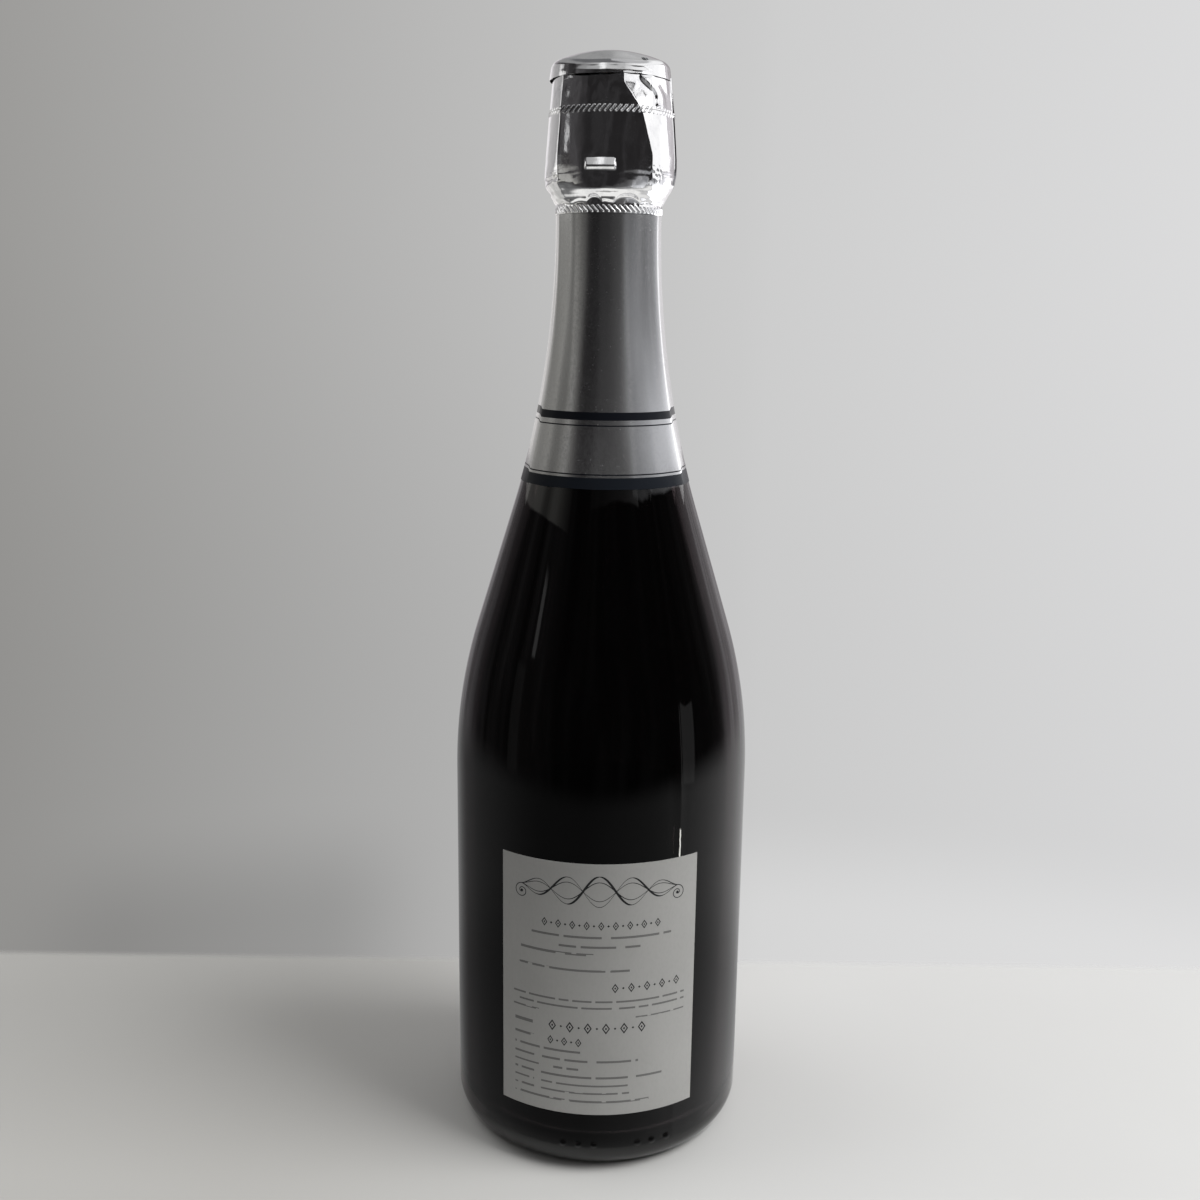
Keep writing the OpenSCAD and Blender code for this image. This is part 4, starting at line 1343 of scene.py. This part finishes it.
@dataclass
class Studio:
    """Pale table, soft light and the camera at the photograph's place.

    The rings hold a side and a light strength. Those of the room and the table, and the lines of the neck's
    cards, began as grey levels read along rows of the photograph, turned into strengths and rounded.
    """

    lens: float = 40.05
    sensor: float = 36
    eye: Trio = (-0.0010, -0.393, 0.250)
    pitch: float = 12.36
    roll: float = 0.77
    table_back: float = 0.088
    table_front: float = -0.15
    table_half: float = 0.42
    # Table colour on the left and on the right: painted side light, darker on the left and paler on the
    # right, as if lit from the right.
    table_left_painted_shade: Trio = (0.45, 0.445, 0.432)
    table_right_painted_light: Trio = (0.60, 0.60, 0.60)
    mirror_reach: Point = (0.047, 0.060)
    table_near: Trio = (0.95, 0.945, 0.92)
    ceiling: Trio = (0.15, 0.15, 0.155)
    ceiling_right: Trio = (0.5, 0.5, 0.505)
    # Backdrop tones seen by the camera, left, middle and right: painted side light, darker on the left and
    # paler on the right.
    wall: tuple[Trio, Trio, Trio] = ((0.315, 0.31, 0.30), (0.61, 0.61, 0.61), (0.73, 0.73, 0.735))
    lamps: tuple[tuple[str, Trio, float, float], ...] = (
        ("key", (0.9, -0.35, 1.1), 0.8, 10.0), ("fill", (-0.7, 0.1, 1.2), 0.9, 2.0),
    )
    aim: Trio = (0, 0, 0.13)
    room_ring: tuple[Point, ...] = (
        (-180, 0.50), (-160, 0.50), (-147, 0.30), (-137, 0.21), (-124, 0.12), (-113, 0.07), (-104, 0.025),
        (-94, 0.08), (-88, 0.05), (-78, 0.03), (-70, 0.06), (-58, 0.06), (-45, 0.045), (-35, 0.024),
        (60, 0.026), (95, 0.04), (104, 0.05), (110, 0.14), (117, 0.38), (128, 0.54), (141, 0.61),
        (158, 0.50), (180, 0.50),
    )
    table_ring: tuple[Point, ...] = (
        (-180, 0.35), (-150, 0.28), (-133, 0.15), (-110, 0.165), (-80, 0.165), (-47, 0.13), (-13, 0.13),
        (3, 0.16), (19, 0.20), (36, 0.25), (53, 0.33), (73, 0.45), (90, 0.50), (105, 0.60), (120, 0.69),
        (141, 0.70), (158, 0.60), (180, 0.50),
    )
    lamp_ring: tuple[Point, ...] = (
        (-180, 0.32), (-60, 0.28), (-28, 0.45), (-21, 1.0), (-14, 1.0), (-8, 0.55), (30, 0.55), (45, 0.80),
        (70, 1.0), (140, 1.0), (180, 0.35),
    )
    patches: tuple[tuple[Trio, Trio, float], ...] = (
        ((-64.3, -61.8, 1.0), (0.215, 0.285, 0.02), 0.50),
        ((-76, -69, 2.0), (-0.22, 0.12, 0.05), 0.05),
    )
    box: tuple[Trio, Trio, float] = ((62, 76, 1.0), (-0.275, 0.0, 0.012), 0.25)
    cards: tuple[Card, ...] = (
        Card("hood_right", 92, 150, 95, 297, 395, ((-95, 1.05), (95, 1.05))),
        Card("hood_left", -135, 100, 110, 288, 350,
             ((-110, 0.35), (-27, 0.33), (50, 0.28), (53, 0.85), (110, 0.85)),
             tint=(1.0, 0.995, 0.98)),
        Card("hood_window", 48, 100, 50, 327, 347, ((-50, 1.1), (50, 1.1))),
        Card("neck_left", -82, 200, 170, 222, 304,
             ((-170, 0.30), (-92, 0.27), (-45, 0.42), (-20, 0.38), (8, 0.17), (22, 0.17), (48, 0.36),
              (75, 0.36), (100, 0.20), (125, 0.09), (150, 0.04), (170, 0.0)),
             ((-170, 222), (-85, 230), (-40, 236), (0, 242), (41, 249), (85, 258.5), (137, 272), (170, 281)),
             tint=(1.0, 0.99, 0.92)),
        Card("neck_front", 12, 100, 54, 229, 290,
             ((-54, 0.02), (-25, 0.028), (-8, 0.038), (19, 0.07), (35, 0.11), (54, 0.17)),
             ((-54, 234), (-21, 230.5), (20, 230), (54, 231.5)),
             ((-54, 0.0), (-21, 0.012), (19, 0.045), (54, 0.11))),
        Card("neck_right", 83, 85, 95, 204, 290,
             ((-95, 0.16), (-65, 0.24), (-43, 0.25), (-24, 0.20), (-7, 0.17), (10, 0.21), (28, 0.52),
              (50, 0.75), (95, 0.70)),
             ((-95, 240), (-66, 229), (-45, 223.5), (-27, 219.5), (-11, 216), (5, 214), (22, 212),
              (43, 209.5), (70, 207), (95, 205)),
             ((-95, 0.12), (-65, 0.20), (-43, 0.34), (-24, 0.54), (-7, 0.80), (10, 0.72), (28, 0.62),
              (95, 0.80)),
             tint=(0.97, 0.985, 1.02)),
        Card("neck_rim_right", 145, 85, 60, 206, 283,
             ((-60, 1.15), (-40, 1.25), (-25, 0.9), (-10, 0.5), (60, 0.45))),
        Card("neck_rim_left", -145, 85, 62, 206, 283,
             ((-62, 0.5), (10, 0.5), (30, 0.42), (45, 0.40), (62, 0.28)),
             tint=(1.0, 0.99, 0.94)),
    )

    def floor(self) -> None:
        """Lay the table top: matt, with a straight back edge, and fading out on its other sides.

        Foil and glass mirror only the part near the foot. The rest of the table is in the room's own light.
        """
        deselect()
        bpy.ops.mesh.primitive_plane_add(size=2)
        ground = bpy.context.object
        ground.name = "floor"
        finish = Finish("table_top", Roughness=0.62, Specular_IOR_Level=0.2)
        x, y, _ = finish.node("SeparateXYZ", {0: finish.place}).outputs
        cloud = finish.noise(finish.place, 6, 3)
        grain = finish.mix(finish.span(cloud, 0.3, 0.7), (0.98, 0.975, 0.96), (1.0, 1.0, 0.985))
        # painted side light: the table's colour darkens towards the left
        tone = finish.mix(finish.span(x, -0.12, 0.10), self.table_left_painted_shade, self.table_right_painted_light)
        finish.wear(Base_Color=finish.mix(1.0, tone, grain, "MULTIPLY"))
        shown = finish.times(finish.span(y, self.table_back - 0.003, self.table_back + 0.003, 1.0, 0.0),
                             finish.span(y, self.table_front - 0.08, self.table_front))
        wide = finish.span(finish.size(x), self.table_half, self.table_half + 0.3, 1.0, 0.0)
        shown = finish.times(shown, wide)
        reach = finish.length(x, y)
        mirrored = finish.times(finish.node("LightPath").outputs["Is Glossy Ray"],
                                finish.span(reach, *self.mirror_reach))
        shown = finish.times(shown, finish.minus(1.0, mirrored))
        clear = finish.node("BsdfTransparent")
        output = finish.tree.nodes["Material Output"]
        both = finish.node("MixShader", {0: shown, 1: clear.outputs[0], 2: finish.shader.outputs[0]})
        finish.set(output.inputs["Surface"], both.outputs[0])
        ground.data.materials.append(finish.material)

    def world(self) -> None:
        """Light the room: dark behind the camera, pale at the back and overhead, the table below. Camera rays
        see a backdrop with painted light instead: darker on the left and towards the bottom, with painted
        shade low on the left and a painted paler patch low on the right.
        """
        world = bpy.data.worlds.new("room")
        bpy.context.scene.world = world
        world.use_nodes = True
        room = Tree(world.node_tree)
        back = world.node_tree.nodes["Background"]
        way = room.node("TexCoord").outputs["Generated"]
        side, height, _ = room.polar(way)
        rise = room.times(height, MM)
        place = room.math("MULTIPLY_ADD", side, 1 / 360, 0.5)
        ring, table, lamps = (
            room.ramp(place, [(at / 360 + 0.5, tone) for at, tone in stops])
            for stops in (self.room_ring, self.table_ring, self.lamp_ring)
        )
        streak = room.noise(room.point(room.times(side, 0.055), rise), 1.6, 3)
        ring = room.mix(1.0, ring,
                        room.mix(room.span(streak, 0.4, 0.75), (0.7, 0.66, 0.68), (1.5, 1.45, 1.5)),
                        "MULTIPLY")
        for wide, tall, shine in self.patches:
            ring = room.mix(room.times(self.patch(room, side, rise, wide, tall), shine), ring, WHITE)
        aside = room.size(side)
        far = room.times(room.span(rise, -0.48, -0.40), room.span(aside, 40, 100, -0.15, 0.35))
        near = room.times(room.span(rise, -0.62, -0.48, 1.0, 0.72), room.plus(far, 1.0))
        table = room.mix(1.0, table, room.node("CombineColor", {0: near, 1: near, 2: near}).outputs[0],
                         "MULTIPLY")
        table = room.mix(room.span(rise, -0.80, -0.64, 1.0, 0.0), table, self.table_near)
        edge = room.plus(rise, room.span(aside, 0, 100, 0.07, 0.0))
        ring = room.mix(room.span(edge, -0.31, -0.18, 1.0, 0.0), ring, table)
        wide, tall, shine = self.box
        ring = room.mix(room.times(self.patch(room, side, rise, wide, tall), shine), ring, WHITE)
        ring = room.mix(room.span(rise, 0.46, 0.54), ring, lamps)
        above = room.mix(room.span(side, 10, 70), self.ceiling, self.ceiling_right)
        ring = room.mix(room.span(rise, 0.76, 0.86), ring, above)
        # Camera rays see a backdrop with painted light: its colour goes from darker on the left to paler on
        # the right, as if lit from the right.
        across = room.node("SeparateXYZ", {0: way}).outputs[0]
        seen = room.mix(room.span(across, -0.43, 0.12, smoothly=False), self.wall[0], self.wall[1])
        seen = room.mix(room.span(across, 0.10, 0.45, smoothly=False), seen, self.wall[2])
        # painted shade: the backdrop darkens towards the bottom, more on the left, and a darker spot is
        # painted low on the left
        painted_lower_shade = room.times(room.span(rise, -0.30, 0.10, 1.0, 0.0), room.span(across, -0.1, 0.1, 0.12, 0.05))
        low = room.span(rise, -0.43, -0.35, 1.0, 0.0)
        left = room.span(room.size(room.plus(across, 0.26)), 0.06, 0.16, 0.18, 0.0)
        seen = room.mix(room.math("MULTIPLY_ADD", low, left, painted_lower_shade), seen, BLACK)
        # painted light: a paler patch low on the right
        seen = room.mix(room.times(low, room.span(across, 0.03, 0.12, 0.0, 0.2)), seen, WHITE)
        camera = room.node("LightPath").outputs["Is Camera Ray"]
        room.set(back.inputs["Color"], room.mix(camera, ring, seen))
        back.inputs["Strength"].default_value = 1.0

    def patch(self, room: Tree, side: object, rise: object, wide: Trio, tall: Trio) -> Socket:
        """One inside an oblong patch of the room, given by its low and high ends and their softness."""
        share: object = 1.0
        for value, (low, high, soft) in ((side, wide), (rise, tall)):
            share = room.times(share, room.span(value, low - soft, low))
            share = room.times(share, room.span(value, high, high + soft, 1.0, 0.0))
        return share

    def lamp(self, name: str, place: Sequence[float], aim: Sequence[float], size: Point,
             shine: float) -> bpy.types.Object:
        """Hang one soft oblong lamp, which foil and glass don't show.

        Args:
            name: Its name.
            place: Where it hangs.
            aim: The point that it looks at.
            size: Its width and height.
            shine: Its brightness, where 1 is white.

        Returns:
            The lamp.
        """
        data = bpy.data.lights.new(name, "AREA")
        data.shape = "RECTANGLE"
        data.size, data.size_y = size
        data.energy = shine * math.pi * size[0] * size[1]
        lamp = bpy.data.objects.new(name, data)
        bpy.context.scene.collection.objects.link(lamp)
        lamp.location = place
        lamp.rotation_euler = (Vector(aim) - Vector(place)).to_track_quat("-Z", "Y").to_euler()
        lamp.visible_glossy = False
        lamp.visible_camera = False
        return lamp

    def card(self, card: Card) -> None:
        """Hang one card, shown only by foil and glass."""
        turn, height = math.radians(card.side), (card.low + card.high) / 2 * MM
        place = (math.sin(turn) * card.distance * MM, -math.cos(turn) * card.distance * MM, height)
        size = (card.half * 2 * MM, (card.high - card.low) * MM)
        hung = self.lamp(card.name, place, (0, 0, height), size, 1.0)
        hung.visible_glossy = True
        hung.visible_diffuse = False
        hung.data.use_nodes = True
        lit = Tree(hung.data.node_tree)
        across, up, _ = lit.node("SeparateXYZ", {0: lit.node("NewGeometry").outputs["Parametric"]}).outputs
        shine = self.read(lit, across, card.half, card.shine, 0.5)
        if card.foot:
            tall = card.high - card.low
            foot = self.read(lit, across, card.half, [(at, height - card.low) for at, height in card.foot],
                             1 / tall)
            above = lit.minus(up, foot)
            if card.foot_shine:
                last = card.fade[-1][0]
                fade = lit.ramp(lit.times(above, tall / last), [(at / last, k) for at, k in card.fade])
                more = self.read(lit, across, card.half, card.foot_shine, 0.5)
                shine = lit.math("MULTIPLY_ADD", fade, more, shine)
            shine = lit.times(shine, lit.span(above, 0.0, 0.015))
        emission = lit.tree.nodes["Emission"]
        lit.set(emission.inputs["Color"], card.tint)
        lit.set(emission.inputs["Strength"], lit.times(shine, 2.0))

    def read(self, lit: Tree, across: object, half: float, line: Sequence[Point], scale: float) -> Socket:
        """Read a line of millimetres and values off a ramp across a card, times a scale."""
        return lit.ramp(across, [((at + half) / (2 * half), value * scale) for at, value in line])

    def camera(self) -> None:
        """Set the camera at the photograph's viewing angle."""
        data = bpy.data.cameras.new("view")
        data.lens, data.sensor_width = self.lens, self.sensor
        data.clip_start = 0.01
        camera = bpy.data.objects.new("view", data)
        bpy.context.scene.collection.objects.link(camera)
        camera.location = self.eye
        camera.rotation_euler = (math.radians(90 - self.pitch), 0, 0)
        camera.rotation_euler.rotate_axis("Z", math.radians(self.roll))
        bpy.context.scene.camera = camera

    def build(self) -> None:
        """Set the stage."""
        self.floor()
        self.world()
        for name, place, wide, shine in self.lamps:
            self.lamp(name, place, self.aim, (wide, wide), shine)
        for card in self.cards:
            self.card(card)
        self.camera()
        bpy.context.scene.view_settings.view_transform = "Standard"


BACK_COLUMNS = (
    (
        Print(53.1, 1.2, -26.0, 26.5), Print(55.2, 1.2, -26.0, 26.5),
        Print(64.6, 1.6, -24.0, 9.0), Print(69.6, 1.6, -23.5, -1.5), Print(72.0, 1.5, -11.6, 12.0),
        Print(75.0, 1.5, -20.0, 21.5),
    ),
    (
        Print(23.2, 1.4, -25.5, 15.5), Print(25.8, 1.4, -16.8, 9.5), Print(28.3, 1.4, -16.8, 9.5),
        Print(30.9, 1.4, -16.8, 19.5), Print(33.4, 1.4, -13.0, -5.5), Print(36.0, 1.5, -16.5, 12.0),
        Print(38.9, 1.4, -25.5, -5.0), Print(50.0, 1.2, 11.0, 26.5),
    ),
    (
        Print(25.8, 1.4, -25.5, -19.0), Print(28.3, 1.4, -25.5, -19.0), Print(30.9, 1.4, -25.5, -19.0),
        Print(33.4, 1.4, -25.5, -17.5), Print(36.0, 1.5, -25.5, -19.0), Print(42.2, 1.6, -25.5, -19.0),
        Print(46.2, 2.2, -25.5, -19.5), Print(51.0, 1.2, -26.0, -17.5),
    ),
)
BACK_LOZENGES = (
    Print(77.9, 2.7, -18.0, 19.2), Print(58.5, 3.0, 2.5, 26.0), Print(45.6, 3.5, -16.0, 15.5),
    Print(41.2, 2.8, -16.0, -3.5),
)
FRONT_COLUMNS = (
    (
        Print(28.5, 1.5, -22.0, 22.0), Print(31.5, 1.5, -30.0, 30.0), Print(40.0, 1.8, -17.0, 17.0),
    ),
)


def main() -> None:
    """Build every piece in order."""
    logging.basicConfig(level=logging.INFO, format="%(name)s: %(message)s")
    glass = GlassBottle()
    glass.build(BottleGlass().make())
    back = LabelPaper("back_label_print", 0, BACK_COLUMNS, (89.6, 23.5, 4.6), BACK_LOZENGES).make()
    front = LabelPaper("front_label_print", 180, FRONT_COLUMNS, (69.0, 31.0, 8.5),
                       (Print(48.0, 3.6, -27.0, 27.0),), border=3.0, half=46.0).make()
    Labels().build(back, front)
    NeckFoil(glass).build(SatinFoil().make())
    HeadFoil().build(BrightFoil().make())
    Stopper().build(GrainCork().make(), DiscCork().make())
    SheetCap().build(CapMetal().make())
    CageWires().build(GalvanisedWire().make())
    Studio().build()


if __name__ == "__main__":
    main()
